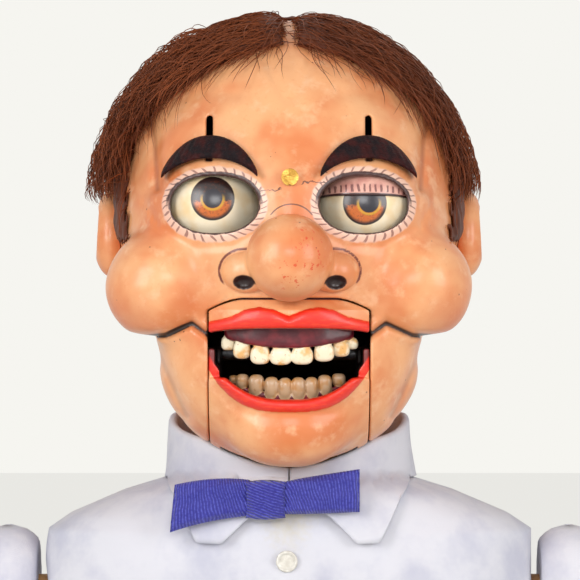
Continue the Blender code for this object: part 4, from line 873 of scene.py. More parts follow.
def build_eyes(look):
    for side, name in ((1, "left"), (-1, "right")):
        rings, around = 72, 96
        polar = np.linspace(0, math.pi, rings)
        turn = np.arange(around) * 2 * math.pi / around
        grid = np.stack(
            [
                np.sin(polar)[:, None] * np.cos(turn),
                -np.cos(polar)[:, None] * np.ones(around),
                np.sin(polar)[:, None] * np.sin(turn),
            ],
            -1,
        )
        points = grid.reshape(-1, 3) * EYE_RADIUS
        points[:, 1] = np.minimum(points[:, 1], 14)
        off_axis = np.hypot(points[:, 0], points[:, 2])
        points[:, 1] -= 0.3 * np.exp(-((off_axis / 9) ** 2)) * (points[:, 1] < 0)
        gaze = np.array((-0.8, 2.7) if side < 0 else (0.6, 0.65))
        offset = points[:, [0, 2]] - gaze
        iris = np.where(points[:, 1] < 0, np.hypot(offset[:, 0], offset[:, 1]), 30)
        pupil = np.hypot(offset[:, 0] - (0.0 if side < 0 else 1.8), offset[:, 1])
        centre = EYE * (side, 1, 1)
        foot, foot_faces = tube([centre + (0, 0, -22), centre + (0, 0, -32)], 2.0, 16)
        spots = points + centre
        count = len(spots)
        ball_faces = [grid_faces(rings, around, True).reshape(-1, 4)]
        points_all, faces = merged([(spots, ball_faces), (foot, foot_faces)])
        pad = len(points_all) - count
        add_mesh(
            "eye_" + name, points_all, faces, look, "eyeball_" + name, "eyes", ("eyeball_" + name,),
            iris=np.concatenate([iris, np.full(pad, 30)]),
            pupil=np.concatenate([pupil, np.full(pad, 30)]),
            turn=np.concatenate([offset[:, 1], np.zeros(pad)]),
        )


def build_lids(look):
    for side, name, edge in ((1, "left", 13.0), (-1, "right", 36.0)):
        start, span = math.radians(edge), math.radians(75)
        rows, columns = 40, 72
        tilt = np.linspace(0, 1, rows)
        along = np.linspace(-1, 1, columns)
        grids = []
        for radius in (25.3, 24.5):
            across = along * 0.93
            sag = 0.06 * (1 - along**2) if side > 0 else 0.0 * along
            angle = start + span * tilt[:, None] - (sag * (1 - tilt[:, None]))
            ring = np.sqrt(1 - across**2)
            grids.append(np.stack([
                radius * across[None] * np.ones((rows, 1)),
                -radius * ring[None] * np.cos(angle),
                radius * ring[None] * np.sin(angle),
            ], -1))
        outer, inner = grids
        points = np.concatenate([outer.reshape(-1, 3), inner.reshape(-1, 3)])
        n = rows * columns
        front = grid_faces(rows, columns, False).reshape(-1, 4)
        border = np.concatenate([
            np.arange(columns), np.arange(1, rows) * columns + columns - 1,
            (rows - 1) * columns + np.arange(columns - 2, -1, -1), np.arange(rows - 2, 0, -1) * columns,
        ])
        following = np.roll(border, -1)
        rim = np.stack([border, border + n, following + n, following], -1)
        faces = np.concatenate([front, front[:, ::-1] + n, rim])
        distance = 25.0 * span * np.repeat(tilt, columns)
        place = np.tile(along, rows) * 25
        centre = EYE * (side, 1, 1)
        pin_in, pin_out = centre + (-side * 23.6, 0, 0), centre + (-side * 28.6, 0, 0)
        pin, pin_faces = tube([pin_in, pin_out], 1.5, 12)
        disc_in, disc_out = centre + (-side * 22.6, 0, 0), centre + (-side * 24.2, 0, 0)
        disc, disc_faces = tube([disc_in, disc_out], [5.0, 4.6], 20)
        spots, groups = merged([(points + centre, [faces]), (pin, pin_faces), (disc, disc_faces)])
        pad = len(spots) - len(points)
        add_mesh(
            "lid_" + name, spots, groups, look, "eyelid_" + name, "painted_skin", ("eyelid_" + name,),
            edge=np.concatenate([distance, distance, np.full(pad, 9)]),
            along=np.concatenate([place, place, np.zeros(pad)]),
        )


def brow_top(a):
    """Height of the brow's upper edge at a, from -1 to 1 across its width."""
    return 51 + 19 * np.clip(1 - np.abs(a) ** 2.1, 0, 1) ** 0.75


def build_brows(look):
    for side, name in ((1, "left"), (-1, "right")):
        def field(p, side=side):
            x, y, z = p[:, 0] * side, p[:, 1], p[:, 2]
            a = np.clip((x - 36) / 22.5, -1, 1)
            tall = 1.6 + 9.2 * np.clip(1 - np.abs(a) ** 2.2, 0, 1) ** 0.7
            middle = brow_top(a) - tall / 2
            level = head_base(p, neck=False) - swells(p) * 0.8
            comb = 0.18 * np.sin(x * 2.6 + z * 1.4)
            body = (np.hypot((z - middle) / (tall / 2), (level - 2.9) / (1.9 + comb)) - 1) * 1.7
            body = smax(body, np.abs(x - 36) - 22, 0.8)
            body = np.maximum(body, y + 20)
            q = p.copy()
            q[:, 0] = x
            route = ((36, -26, 46), (36, -29, 60), (36, -40, 71), (36, -58, 70), (36, -80, 65))
            wire = np.min([capsule(q, s, e, 1.0, 1.0) for s, e in zip(route, route[1:])], axis=0)
            bush = np.maximum(np.hypot(y + 26, z - 46) - 4.5, np.abs(x - 36) - 4)
            d = np.minimum(np.minimum(body, wire), bush)
            return np.maximum(d, -(np.hypot(y + 26, z - 46) - 2.3))

        def values(p, side=side):
            base = head_base(p, neck=False)
            return {"metal": np.clip((-base + 0.6), 0, 1)}

        reach = sorted((side * 13, side * 59))
        deep = axis((-96, -56, 0.6), (-56, -19, 0.9))
        axes = (axis((reach[0], reach[1], 0.6)), deep, axis((40, 73, 0.6)))
        node = "eyebrow_" + name
        add_surface("brow_" + name, field, axes, look, node, "brow_paint", (node,), values=values)


# Each tooth: its middle across the mouth, width, and the heights of its root and tip.
UPPER_TEETH = (
    (-27.6, 6.4, -20.5, -27.4),
    (-21.3, 8.0, -22.5, -31.2),
    (-13.0, 9.0, -24.8, -33.6),
    (-3.7, 9.8, -25.6, -33.9),
    (5.9, 9.9, -25.2, -33.7),
    (15.8, 9.2, -23.8, -32.4),
    (23.6, 7.8, -22.4, -30.3),
    (28.6, 5.6, -21.6, -27.0),
)
LOWER_TEETH = (
    (-25.3, 4.2, -42.5, -38.8),
    (-21.2, 6.0, -45.0, -38.2),
    (-14.8, 7.2, -48.0, -38.4),
    (-7.9, 6.6, -49.5, -39.4),
    (-1.8, 6.2, -50.0, -39.8),
    (4.2, 6.6, -50.0, -39.6),
    (10.2, 6.2, -49.5, -39.5),
    (16.2, 6.6, -48.0, -38.6),
    (22.6, 6.4, -44.0, -38.0),
)


def tooth(p, middle, wide, root, tip, front, deep):
    x, y, z = p[:, 0], p[:, 1], p[:, 2]
    low, high = min(root, tip), max(root, tip)
    centre = ((low + high) / 2)
    half = (high - low) / 2
    up = (z - centre) / half
    toward = up * (1 if tip > root else -1)
    half_wide = wide / 2 * (1.0 + 0.08 * toward)
    q = np.abs((x - middle) / half_wide) ** 2.7 + np.abs(up) ** 2.7
    q = q + np.abs((y - front - deep / 2) / (deep / 2)) ** 2.4
    return (q ** (1 / 2.7) - 1) * 2.0


def upper_teeth_field(p):
    x, y, z = p[:, 0], p[:, 1], p[:, 2]
    a = x / 29.5
    bow = 9 * a**2
    gum_low = -26.3 + 4.2 * a**2
    d = smax(np.abs(y + 76.4 - bow) - 3.0, np.maximum(gum_low - z, z + 9), 2.4)
    d = smax(d, np.abs(x) - 29.5, 2.0)
    seat = np.maximum(np.maximum(np.abs(x) - 24, np.abs(z + 2) - 10), np.abs(y + 70.2) - 4.2)
    seat = np.maximum(seat, head_base(p, neck=False) + 5.3)
    d = np.minimum(d, seat)
    for middle, wide, root, tip in UPPER_TEETH:
        d = np.minimum(d, tooth(p, middle, wide, root, tip, -78.2 + 9 * (middle / 29.5) ** 2, 4.2))
    return d


def lower_teeth_field(p):
    x, y, z = p[:, 0], p[:, 1], p[:, 2]
    bow = 8 * (x / 26) ** 2
    gum_top = -47.0 + 7.5 * np.clip(np.abs(x) / 29, 0, 1) ** 2.6
    d = smax(np.maximum(-68.4 + bow - y, y + 62.5 - 0.4 * bow), np.maximum(z - gum_top, -57 - z), 1.5)
    base = np.maximum(np.abs(z + 54.8) - 2.8, y + 63)
    d = np.minimum(d, np.maximum(base, -(y + 90)))
    d = np.maximum(d, head_base(p, neck=False) + 5.8)
    d = np.maximum(d, np.abs(x) - 30.6)
    for middle, wide, root, tip in LOWER_TEETH:
        d = np.minimum(d, tooth(p, middle, wide, root, tip, -69.3 + 8 * (middle / 26) ** 2, 5))
    return d


def tooth_values(teeth, front, bow, half, low):
    def values(p):
        gum = np.ones(len(p)) * 9.0
        for middle, wide, root, tip in teeth:
            near = front + bow * (middle / half) ** 2
            gum = np.minimum(gum, tooth(p, middle, wide, root, tip, near, 4.2))
        # inside marks the surfaces behind the row, for the near-black painted shade.
        inside = np.clip((p[:, 1] - (front + 8 + bow * (p[:, 0] / half) ** 2)) / 2, 0, 1)
        return {"gum": np.clip(gum / 0.5, 0, 1), "low": np.full(len(p), low), "inside": inside}

    return values


def build_teeth(look):
    axes = (axis((-32, 32, 0.5)), axis((-86, -62, 0.5)), axis((-36, 9.5, 0.5)))
    add_surface(
        "upper_tooth_row", upper_teeth_field, axes, look, "head", "teeth", ("upper_teeth",),
        values=tooth_values(UPPER_TEETH, -78.2, 9, 29.5, 0.0),
    )
    # The lower row is given low = 1, which paints its teeth the darker tan of painted shade.
    axes = (axis((-32, 32, 0.5)), axis((-86, -58, 0.5)), axis((-60, -36, 0.5)))
    add_surface(
        "lower_tooth_row", lower_teeth_field, axes, look, "jaw", "teeth", ("lower_teeth",),
        values=tooth_values(LOWER_TEETH, -69.3, 8, 26, 1.0),
    )


def build_ears(skin):
    for side, name in ((1, "left"), (-1, "right")):
        def field(p, side=side):
            q = p.copy()
            q[:, 0] *= side
            q -= np.array((85, 10, 27), np.float32)
            turn = math.radians(14)
            y = q[:, 1] * math.cos(turn) - q[:, 2] * math.sin(turn)
            z = q[:, 1] * math.sin(turn) + q[:, 2] * math.cos(turn)
            q[:, 1], q[:, 2] = y, z
            body = ellipsoid(q, (0, 0, 0), (9, 15, 21))
            bowl = ellipsoid(q, (8.5, -1.0, 2), (6.5, 9.5, 13.5))
            inner = ellipsoid(q, (7.2, -2.5, -3), (7.2, 5.5, 7))
            ridge = polyline(q[:, 1], q[:, 2], ((4, -8), (4.5, 2), (1, 9), (-4, 12)))
            ridge = np.hypot(ridge, q[:, 0] - 4.6) - 1.7
            d = smax(body, -bowl, 2.0)
            d = smin(d, np.maximum(ridge, body - 0.6), 1.2)
            d = smax(d, -inner, 1.5)
            m = mirrored(p)
            return np.maximum(d, -(head_base(m) - 0.3))

        def values(p):
            # Crease value on the part of the ear near the head, painted slightly darker: painted shade where
            # the ear meets the head.
            return {"crease": np.clip((90 - np.abs(p[:, 0])) / 5, 0, 1.2), "inside": np.zeros(len(p))}

        reach = sorted((side * 74, side * 96.5))
        axes = (axis((reach[0], reach[1], 0.6)), axis((-9, 29, 0.7)), axis((4, 50, 0.7)))
        node = "ear_" + name
        add_surface("ear_paint_" + name, field, axes, skin, "head", "painted_skin", (node,), values=values)


# ---------------------------------------------------------------- hair

FACE_EDGE = ((19, 33, 55, 68, 80, 90, 100, 108, 113), (71.5, 72, 72, 70, 64, 54, 36, 20, 0))


def hair_edge(p):
    """Below 0 where hair grows."""
    x, y, z = np.abs(p[:, 0]), p[:, 1], p[:, 2]
    face = np.maximum(np.interp(z, *FACE_EDGE) - x, 19 - z)
    back = np.maximum(16 - y, -21 - z)
    crown = np.maximum(-y, 19 - z)
    ear = 1 - np.sqrt(((x - 84) / 15) ** 2 + ((y - 9) / 17) ** 2 + ((z - 25) / 20) ** 2)
    return np.maximum(np.minimum(np.minimum(face, back), crown), ear * 14)


def cap_field(p):
    base = head_base(p)
    edge = hair_edge(p)
    locks = 0.5 * np.sin(p[:, 0] * 0.9) * np.sin(p[:, 1] * 0.6 + p[:, 2] * 0.4)
    thick = 3.2 * np.clip(-edge / 9, 0.12, 1) + locks
    return np.maximum(np.maximum(base - thick, 0.4 - base), edge)


def outward(p):
    """The way straight out from the head at each point."""
    steps = np.eye(3) * 0.6
    slope = np.stack([head_base(p + step) - head_base(p - step) for step in steps], -1)
    return slope / np.maximum(np.linalg.norm(slope, axis=1)[:, None], 1e-9)


def on_head(ways):
    """Where rays from the middle of the head cross its surface."""
    middle = np.array((0, 4, 30.0))
    low, high = np.full(len(ways), 30.0), np.full(len(ways), 140.0)
    for _ in range(22):
        half = (low + high) / 2
        outside = head_base(middle + ways * half[:, None]) > 0
        high = np.where(outside, half, high)
        low = np.where(outside, low, half)
    return middle + ways * low[:, None]


def hair_roots(count):
    roots = []
    while sum(map(len, roots)) < count:
        ways = RNG.normal(size=(count * 2, 3))
        ways /= np.linalg.norm(ways, axis=1)[:, None]
        spots = on_head(ways)
        edge = hair_edge(spots)
        roots.append(spots[edge < -RNG.uniform(0, 2.5, len(edge))])
    return np.concatenate(roots)[:count]


def grow(roots, length, lift, wild, segments=6):
    """Strands combed from the parting down the sides, each standing off the head as it grows."""
    count = len(roots)
    way = RNG.normal(0, wild, (count, 3))
    phase = RNG.uniform(0, 6.28, (count, 2))
    spots = roots + outward(roots) * 0.6
    line = [spots]
    for k in range(segments):
        share = (k + 1) / segments
        x, y, z = spots[:, 0], spots[:, 1], spots[:, 2]
        normal = outward(spots)
        front = np.clip((-y - 10) / 50, 0, 1) * np.clip((z - 70) / 25, 0, 1)
        down = -26 - 70 * np.clip((95 - z) / 50, 0, 1)
        flow = np.stack([x + np.sign(x) * 18, (y - 18) * (0.55 - 0.35 * front), down], -1)
        flow[:, 1] += 16 * front
        flow /= np.linalg.norm(flow, axis=1)[:, None]
        flow = flow + way + 0.42 * wild * np.sin(phase[:, :1] + share * 5.0) * np.array((1, 1, 0.4))
        flow -= normal * (flow * normal).sum(1)[:, None]
        flow /= np.maximum(np.linalg.norm(flow, axis=1)[:, None], 1e-6)
        spots = spots + flow * (length / segments)[:, None]
        wanted = 0.8 + lift * np.sin(np.pi * min(share * 0.72, 1.0)) ** 0.8
        spots = spots + normal * (wanted - head_base(spots))[:, None]
        line.append(spots)
    lines = np.stack(line, 1)
    m = np.abs(lines[..., 0])
    near_ear = ((m - 84) / 17) ** 2 + ((lines[..., 1] - 9) / 19) ** 2 + ((lines[..., 2] - 25) / 20) ** 2 < 1
    over_ear = (m > 79) & (lines[..., 2] < 40) & (lines[..., 1] < 30)
    at_nape = (m > 50) & (lines[..., 2] < -14)
    return lines[~(near_ear | over_ear | at_nape).any(1)]


def strands(lines, radius):
    """Thin three-sided tapering tubes along each line."""
    count, n = lines.shape[:2]
    along = np.gradient(lines, axis=1)
    along /= np.maximum(np.linalg.norm(along, axis=2)[..., None], 1e-9)
    side = np.cross(along, (0.3, 0.2, 0.93))
    side /= np.maximum(np.linalg.norm(side, axis=2)[..., None], 1e-9)
    up = np.cross(along, side)
    taper = radius[:, None] * np.array([1.0, 1.0, 0.95, 0.9, 0.8, 0.65, 0.4][: n])[None]
    rings = []
    for j in range(3):
        turn = 2 * math.pi * j / 3
        rings.append(lines + (side * math.cos(turn) + up * math.sin(turn)) * taper[..., None])
    ring = np.stack(rings, 2)[:, : n - 1]
    points = np.concatenate([ring.reshape(count, -1, 3), lines[:, -1:]], 1)
    per = points.shape[1]
    quads, tris = [], []
    for k in range(n - 2):
        for j in range(3):
            a, b = k * 3 + j, k * 3 + (j + 1) % 3
            quads.append((a, a + 3, b + 3, b))
    last = (n - 2) * 3
    for j in range(3):
        tris.append((last + j, per - 1, last + (j + 1) % 3))
    tris.append((0, 1, 2))
    base = (np.arange(count) * per)[:, None, None]
    groups = [(np.array(quads)[None] + base).reshape(-1, 4), (np.array(tris)[None] + base).reshape(-1, 3)]
    return points.reshape(-1, 3), groups, per


def add_strands(name, lines, look, thick):
    points, groups, per = strands(lines, RNG.uniform(0.7, 1.2, len(lines)) * thick)
    x, y, z = lines[:, 0].T
    clump = 0.5 + 0.5 * np.sin(x * 0.21 + 1) * np.sin(z * 0.17 + y * 0.13)
    tint = np.clip(0.65 * RNG.random(len(lines)) + 0.35 * clump, 0, 1)
    tips = np.concatenate([np.repeat(np.linspace(0, 1, lines.shape[1])[:-1], 3), [1.0]])
    return add_mesh(
        name, points, groups, look, "head", "hair",
        tint=np.repeat(tint, per), tip=np.tile(tips, len(lines)),
    )


def build_hair(look):
    def values(p):
        return {"tint": np.clip(0.15 + 0.1 * np.sin(p[:, 0] * 0.7), 0, 1), "tip": np.zeros(len(p))}

    axes = (axis((-90, 90, 1.5)), axis((-80, 97, 1.5)), axis((-24, 134, 1.5)))
    add_surface("hair_cap", cap_field, axes, look, "head", "hair", ("wig",), values=values)
    roots = hair_roots(17600)
    side = np.abs(roots[:, 0]) / 80
    low = np.clip((60 - roots[:, 2]) / 60, 0, 1) * (roots[:, 1] < 20)
    length = RNG.uniform(20, 38, len(roots)) * (1 - 0.55 * low)
    back = (roots[:, 1] > 20) & (roots[:, 2] < 20)
    length = np.where(back, length * 0.55, length)
    fuller = (0.6 + 0.7 * side) * np.where(roots[:, 0] < -30, 1.5, 1.0)
    lift = RNG.uniform(1.5, 8.5, len(roots)) * fuller + 2.5 * low
    lines = grow(roots, length, lift, 0.34)
    order = np.argsort(np.arctan2(lines[:, 0, 0], lines[:, 0, 1] + 0.01), kind="stable")
    for i, chosen in enumerate(np.array_split(order, 4)):
        add_strands("hair_%d" % (i + 1), lines[chosen], look, 0.26)
    edge = hair_edge(roots)
    fringe = roots[(edge > -6) & (roots[:, 1] < -20) & (roots[:, 2] > 62)][:420]
    lines = grow(fringe, RNG.uniform(14, 30, len(fringe)), RNG.uniform(0.8, 3.0, len(fringe)), 0.55)
    add_strands("hair_wisps", lines, look, 0.17)


# ---------------------------------------------------------------- body and clothes

BODY = np.array((
    (0, 84, 50), (60, 90, 53), (150, 91, 53), (230, 102, 56), (284, 111, 57),
    (312, 112.5, 55), (327, 112, 52), (334, 102, 50), (345, 76, 48.5), (352, 53, 47),
))


def body_grid(heights, columns, grow_by):
    """Points round the body at each height, from the front, as (rows, columns, 3)."""
    half_wide = np.interp(heights, BODY[:, 0], BODY[:, 1]) + grow_by
    half_deep = np.interp(heights, BODY[:, 0], BODY[:, 2]) + grow_by
    turn = np.arange(columns) * 2 * math.pi / columns
    across, along = np.sin(turn), -np.cos(turn)
    x = np.sign(across) * np.abs(across) ** 0.8
    y = np.sign(along) * np.abs(along) ** 0.8
    grid = np.empty((len(heights), columns, 3))
    grid[..., 0] = half_wide[:, None] * x
    grid[..., 1] = half_deep[:, None] * y
    grid[..., 2] = heights[:, None]
    return grid


def cloth_noise(grid, size, seed):
    x, y, z = grid[..., 0] / size, grid[..., 1] / size, grid[..., 2] / size
    a = np.sin(x * 1.7 + 2.1 * z + seed) * np.sin(y * 1.3 - z * 1.1 + seed * 1.7)
    b = np.sin(x * 3.1 - 2.7 * z + seed * 0.7 + 1.5 * a) * np.sin(y * 2.3 + z * 1.9)
    return a + 0.5 * b


def build_shirt(look, button_look):
    heights = np.concatenate([np.linspace(82, 327, 120), np.linspace(329, 351.5, 22)])
    columns = 240
    grid = body_grid(heights, columns, 1.9)
    swell = 0.7 + 0.9 * cloth_noise(grid, 26, 0.4) * np.clip((348 - grid[..., 2]) / 20, 0.1, 1)
    middle = np.exp(-((grid[..., 0] + 1) / 14) ** 2) * (grid[..., 1] < 0)
    placket = 0.9 * ((np.abs(grid[..., 0] + 1) < 8) & (grid[..., 1] < 0))
    swell = swell * (1 - 0.6 * middle) + placket
    out = grid.copy()
    out[..., 2] = 0
    out /= np.linalg.norm(out, axis=-1)[..., None]
    grid = grid + out * swell[..., None]
    x, y, z = grid[..., 0], grid[..., 1], grid[..., 2]
    opening = (np.abs(x) < 61) & (y > 0) & (z > 42) & (z < 271)
    keep = ~(opening & np.roll(opening, -1, 1) & np.roll(opening, -1, 0))
    stain = 0.8 * np.exp(-(((x + 1) / 22) ** 2)) * (y < 0) * np.clip((z - 290) / 50, 0, 1)
    shirt = add_cloth(
        "shirt", grid, look, "body", "shirt_cloth", ("shirt_body",), keep=keep, stain=stain.ravel()
    )
    spots = []
    for z_at in (316, 262, 208, 154, 112):
        y_at = -float(np.interp(z_at, BODY[:, 0], BODY[:, 2])) - 4.9
        spots.append(button((-1, y_at, z_at)))
    points, groups = merged(spots)
    add_mesh("shirt_buttons", points, groups, button_look, "body", "shirt_cloth", lift=0.0)


def button(centre):
    """A four-hole button facing the front: a dished disc with a rim."""
    radii = (0.0, 2.6, 3.4, 3.8, 4.6, 5.0, 4.8)
    depths = (0.2, 0.2, 0.3, -0.5, -0.6, 0.0, 0.9)
    sides = 28
    turn = np.arange(sides) * 2 * math.pi / sides
    rings = []
    for r, d in zip(radii[1:], depths[1:]):
        ring = np.stack([r * np.cos(turn), np.full(sides, d), r * np.sin(turn)], -1)
        rings.append(ring + centre)
    middle = np.array([(0, depths[0], 0), (0, 0.9, 0)]) + centre
    points = np.concatenate(rings + [middle])
    n = len(rings)
    quads = grid_faces(n, sides, True).reshape(-1, 4)
    j = np.arange(sides)
    k = (j + 1) % sides
    fore = np.stack([np.full(sides, n * sides), k, j], -1)
    aft = np.stack([(n - 1) * sides + j, (n - 1) * sides + k, np.full(sides, n * sides + 1)], -1)
    return points, [quads[:, ::-1], np.concatenate([fore[:, ::-1], aft[:, ::-1]])]


COLLAR_TOPS = ((0, 14, 30, 45, 65, 95, 180), (356, 358, 363, 369, 372, 379, 381))


def build_collar(look):
    """A stand that rises to the nape, rolled over into a fall whose points reach under the bow."""
    columns = 220
    turn = np.linspace(0.3, 359.7, columns)
    away = np.minimum(turn, 360 - turn)
    angle = np.radians(turn)
    top = np.interp(away, *COLLAR_TOPS)
    fall = np.interp(away, (1, 12, 32, 46, 58, 75, 95, 180), (6, 16, 40, 45, 34, 24, 28, 30))
    lowest = np.interp(away, (0, 44, 60, 72, 180), (322, 322, 344, 351.5, 351.5))
    rows = []
    for share in np.linspace(0, 1, 12):
        rows.append((53.4 + 0.8 * share, 341.5 + (top - 341.5) * share))
    for bend in np.radians((30, 70, 110, 150)):
        rows.append((55.4 - 1.2 * np.cos(bend), top + 1.2 * np.sin(bend)))
    for share in np.linspace(0, 1, 16):
        flare = 1.8 + 2.6 * share**1.3 + 0.9 * share * np.sin(angle * 5 + 0.7)
        rows.append((54.8 + flare, np.maximum(top - fall * share, lowest)))
    grid = np.empty((len(rows), columns, 3))
    for i, (radius, height) in enumerate(rows):
        radius = radius + 0.25 * np.sin(angle * 11 + i * 0.3)
        grid[i, :, 0] = radius * np.sin(angle)
        grid[i, :, 1] = 8 - radius * np.cos(angle)
        grid[i, :, 2] = height
        if i > 15:
            wide = np.interp(height, BODY[:, 0], BODY[:, 1]) + 2.5
            deep = np.interp(height, BODY[:, 0], BODY[:, 2]) + 3.6 + 0.12 * (i - 15)
            chest = -deep * np.clip(1 - np.clip(np.abs(grid[i, :, 0]) / wide, 0, 1) ** 2.5, 0, 1) ** 0.4
            covered = (height < 353) & (away < 80)
            grid[i, :, 1] = np.where(covered, np.minimum(grid[i, :, 1], chest - 1.2), grid[i, :, 1])
    collar = add_cloth(
        "collar", grid, look, "body", "shirt_cloth", ("shirt_collar",), thick=0.8, closed=False,
        stain=np.zeros(grid.shape[0] * columns),
    )


def bow_loop(side):
    """One loop of the bow: two layers of ribbon that swell from the knot and fold at the end."""
    rows, columns = 34, 44
    s = np.linspace(0, 1, rows)[:, None]
    turn = np.arange(columns)[None] * 2 * math.pi / columns
    end = 34.0
    length = -1.5 + (end + 1.5) * s
    half_tall = (8.0 + 2.9 * s**0.7) if side < 0 else (7.0 + 2.8 * s**0.6)
    half_deep = 2.2 + 2.6 * np.sin(np.pi * np.clip(s * 0.9 + 0.08, 0, 1))
    cross, deep = np.cos(turn), np.sin(turn)
    z = half_tall * np.sign(cross) * np.abs(cross) ** 0.62
    y = half_deep * np.sign(deep) * np.abs(deep) ** 0.8
    fold = 0.5 if side < 0 else -1.5 + 6 * s
    crease = 1.9 * np.exp(-((z - fold) / 2.0) ** 2) * np.clip(1 - s * 1.1, 0.12, 1)
    y = y + crease * (deep < 0)
    fan = 0.35 * np.sin(z * 1.5 + s * 4) * (deep < 0)
    tip = np.clip((s - 0.94) / 0.06, 0, 1)
    y = y * (1 - 0.7 * tip) + fan
    slant = (0.10 if side < 0 else 0.0) * z * s
    x = side * (8.75 + length - slant) - 10.5
    grid = np.stack([x + 0 * z, y + 0 * z, z + 0 * s], -1)
    drop = (1.6 - 4.8 * s**2.2) if side < 0 else (1.4 + 3.6 * s)
    grid[..., 2] += 343.5 + drop
    grid[..., 1] += -58.3 - 2.0 * s - (1.2 if side < 0 else 0) * s
    faces = grid_faces(rows, columns, True).reshape(-1, 4)
    points = grid.reshape(-1, 3)
    rib = (length + 0.45 * z * side * (1 - s)).reshape(-1)
    caps = []
    for row in (0, rows - 1):
        points = np.concatenate([points, grid[row].mean(0)[None]])
        rib = np.append(rib, rib[row * columns])
        j = np.arange(columns)
        k = (j + 1) % columns
        fan_faces = np.stack([row * columns + j, row * columns + k, np.full(columns, len(points) - 1)], -1)
        caps.append(fan_faces[:, ::-1] if row == 0 else fan_faces)
    groups = [faces, np.concatenate(caps)]
    if side < 0:
        groups = [g[:, ::-1] for g in groups]
    return points, groups, rib


def build_tie(look):
    loops = [bow_loop(-1), bow_loop(1)]
    points, groups = merged([loop[:2] for loop in loops])
    rib = np.concatenate([loop[2] for loop in loops])
    bow = add_mesh("bow", points, groups, look, "body", "tie_cloth", ("tie_bow",), 0.0, rib=rib)
    rows, columns = 30, 40
    s = np.linspace(-1, 1, rows)[:, None]
    turn = np.arange(columns)[None] * 2 * math.pi / columns
    half_wide = 8.6 + 0.5 * s**2
    round_off = np.sqrt(np.clip(1 - np.abs(s) ** 5, 0.02, 1))
    x = half_wide * np.sign(np.cos(turn)) * np.abs(np.cos(turn)) ** 0.55 + 0 * s
    y = 3.6 * np.sign(np.sin(turn)) * np.abs(np.sin(turn)) ** 0.8 * round_off
    y = y - 0.5 * np.sin(x * 0.8 + s * 2.0) * (np.sin(turn) < 0)
    z = 8.7 * s * (1 + 0.05 * np.cos(x * 0.3)) + 0 * x
    grid = np.stack([x - 10.7, y - 60.2, z + 344.3], -1)
    points = np.concatenate([grid.reshape(-1, 3), grid[0].mean(0)[None], grid[-1].mean(0)[None]])
    j = np.arange(columns)
    k = (j + 1) % columns
    n = rows * columns
    low = np.stack([j, np.full(columns, n), k], -1)
    high = np.stack([(rows - 1) * columns + j, (rows - 1) * columns + k, np.full(columns, n + 1)], -1)
    faces = grid_faces(rows, columns, True).reshape(-1, 4)
    rib = np.concatenate([(x * 0.35 + z).ravel(), [0, 0]])
    groups = [faces, np.concatenate([low, high])]
    knot = add_mesh("knot", points, groups, look, "body", "tie_cloth", ("tie_knot",), 0.0, rib=rib)


def limb_cloth(
    name, path, radii, look, split, slot, replaces, seed, wrinkle, head=None
):
    """A tube of cloth along a straight path, crumpled near the joint; it is attached to no body."""
    start, end = np.array(path[0], float), np.array(path[1], float)
    rows, columns = 110, 64
    s = np.linspace(0, 1, rows)
    along = (end - start) / np.linalg.norm(end - start)
    side = np.array((1.0, 0, 0))
    up = np.cross(along, side)
    turn = np.arange(columns) * 2 * math.pi / columns
    radius = np.interp(s, *radii)[:, None] * np.ones(columns)
    centre = start + (end - start) * s[:, None]
    out = side * np.cos(turn)[:, None] + up * np.sin(turn)[:, None]
    near = np.exp(-((s - split) / 0.13) ** 2)[:, None]
    folds = np.sin(s[:, None] * 62 + 1.4 * np.sin(turn * 2 + seed) + seed) * near
    drape = np.sin(turn * 3 + seed + 3 * s[:, None]) * np.sin(s[:, None] * 17 + seed)
    swell = wrinkle * (0.9 * folds + 0.55 * drape)
    hem = 0.5 * (s[:, None] > 0.955) if slot == "shirt_cloth" else 0.35 * (s[:, None] > 0.97)
    radius = radius + np.clip(swell, -0.7, 2.4) + hem
    grid = centre[:, None] + out[None] * radius[..., None]
    if head is not None:
        grid = head(grid, s)
    cloth = add_cloth(name, grid, look, None, slot, stain=np.zeros(rows * columns))
    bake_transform(cloth)
    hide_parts(*replaces)
    return cloth


def build_sleeves(look):
    for side, name in ((1, "left"), (-1, "right")):
        def shoulder(grid, s, side=side):
            """The top of the sleeve closes over the shoulder in a dome, flat towards the body."""
            top = np.clip((0.17 - s) / 0.17, 0, 1)[:, None]
            x = grid[..., 0] * side
            inner = 118.6
            reach = np.sqrt(np.clip(1 - top**2.2, 0.004, 1))
            grid[..., 0] = side * np.maximum(inner + 0.4, 141 + (x - 141) * reach - 8 * top)
            grid[..., 1] = grid[..., 1] * (reach + 0.25 * top * reach)
            return grid

        limb_cloth(
            "sleeve_" + name, ((side * 141, 0, 328.5), (side * 141, 0, 95.5)),
            ((0, 0.12, 0.3, 0.6, 0.75, 1.0), (26.5, 27, 23.8, 22.0, 20.4, 18.8)), look,
            0.60, "shirt_cloth",
            ("sleeve_upper_" + name, "sleeve_lower_" + name), 1.1 + side, 1.2,
            head=shoulder,
        )


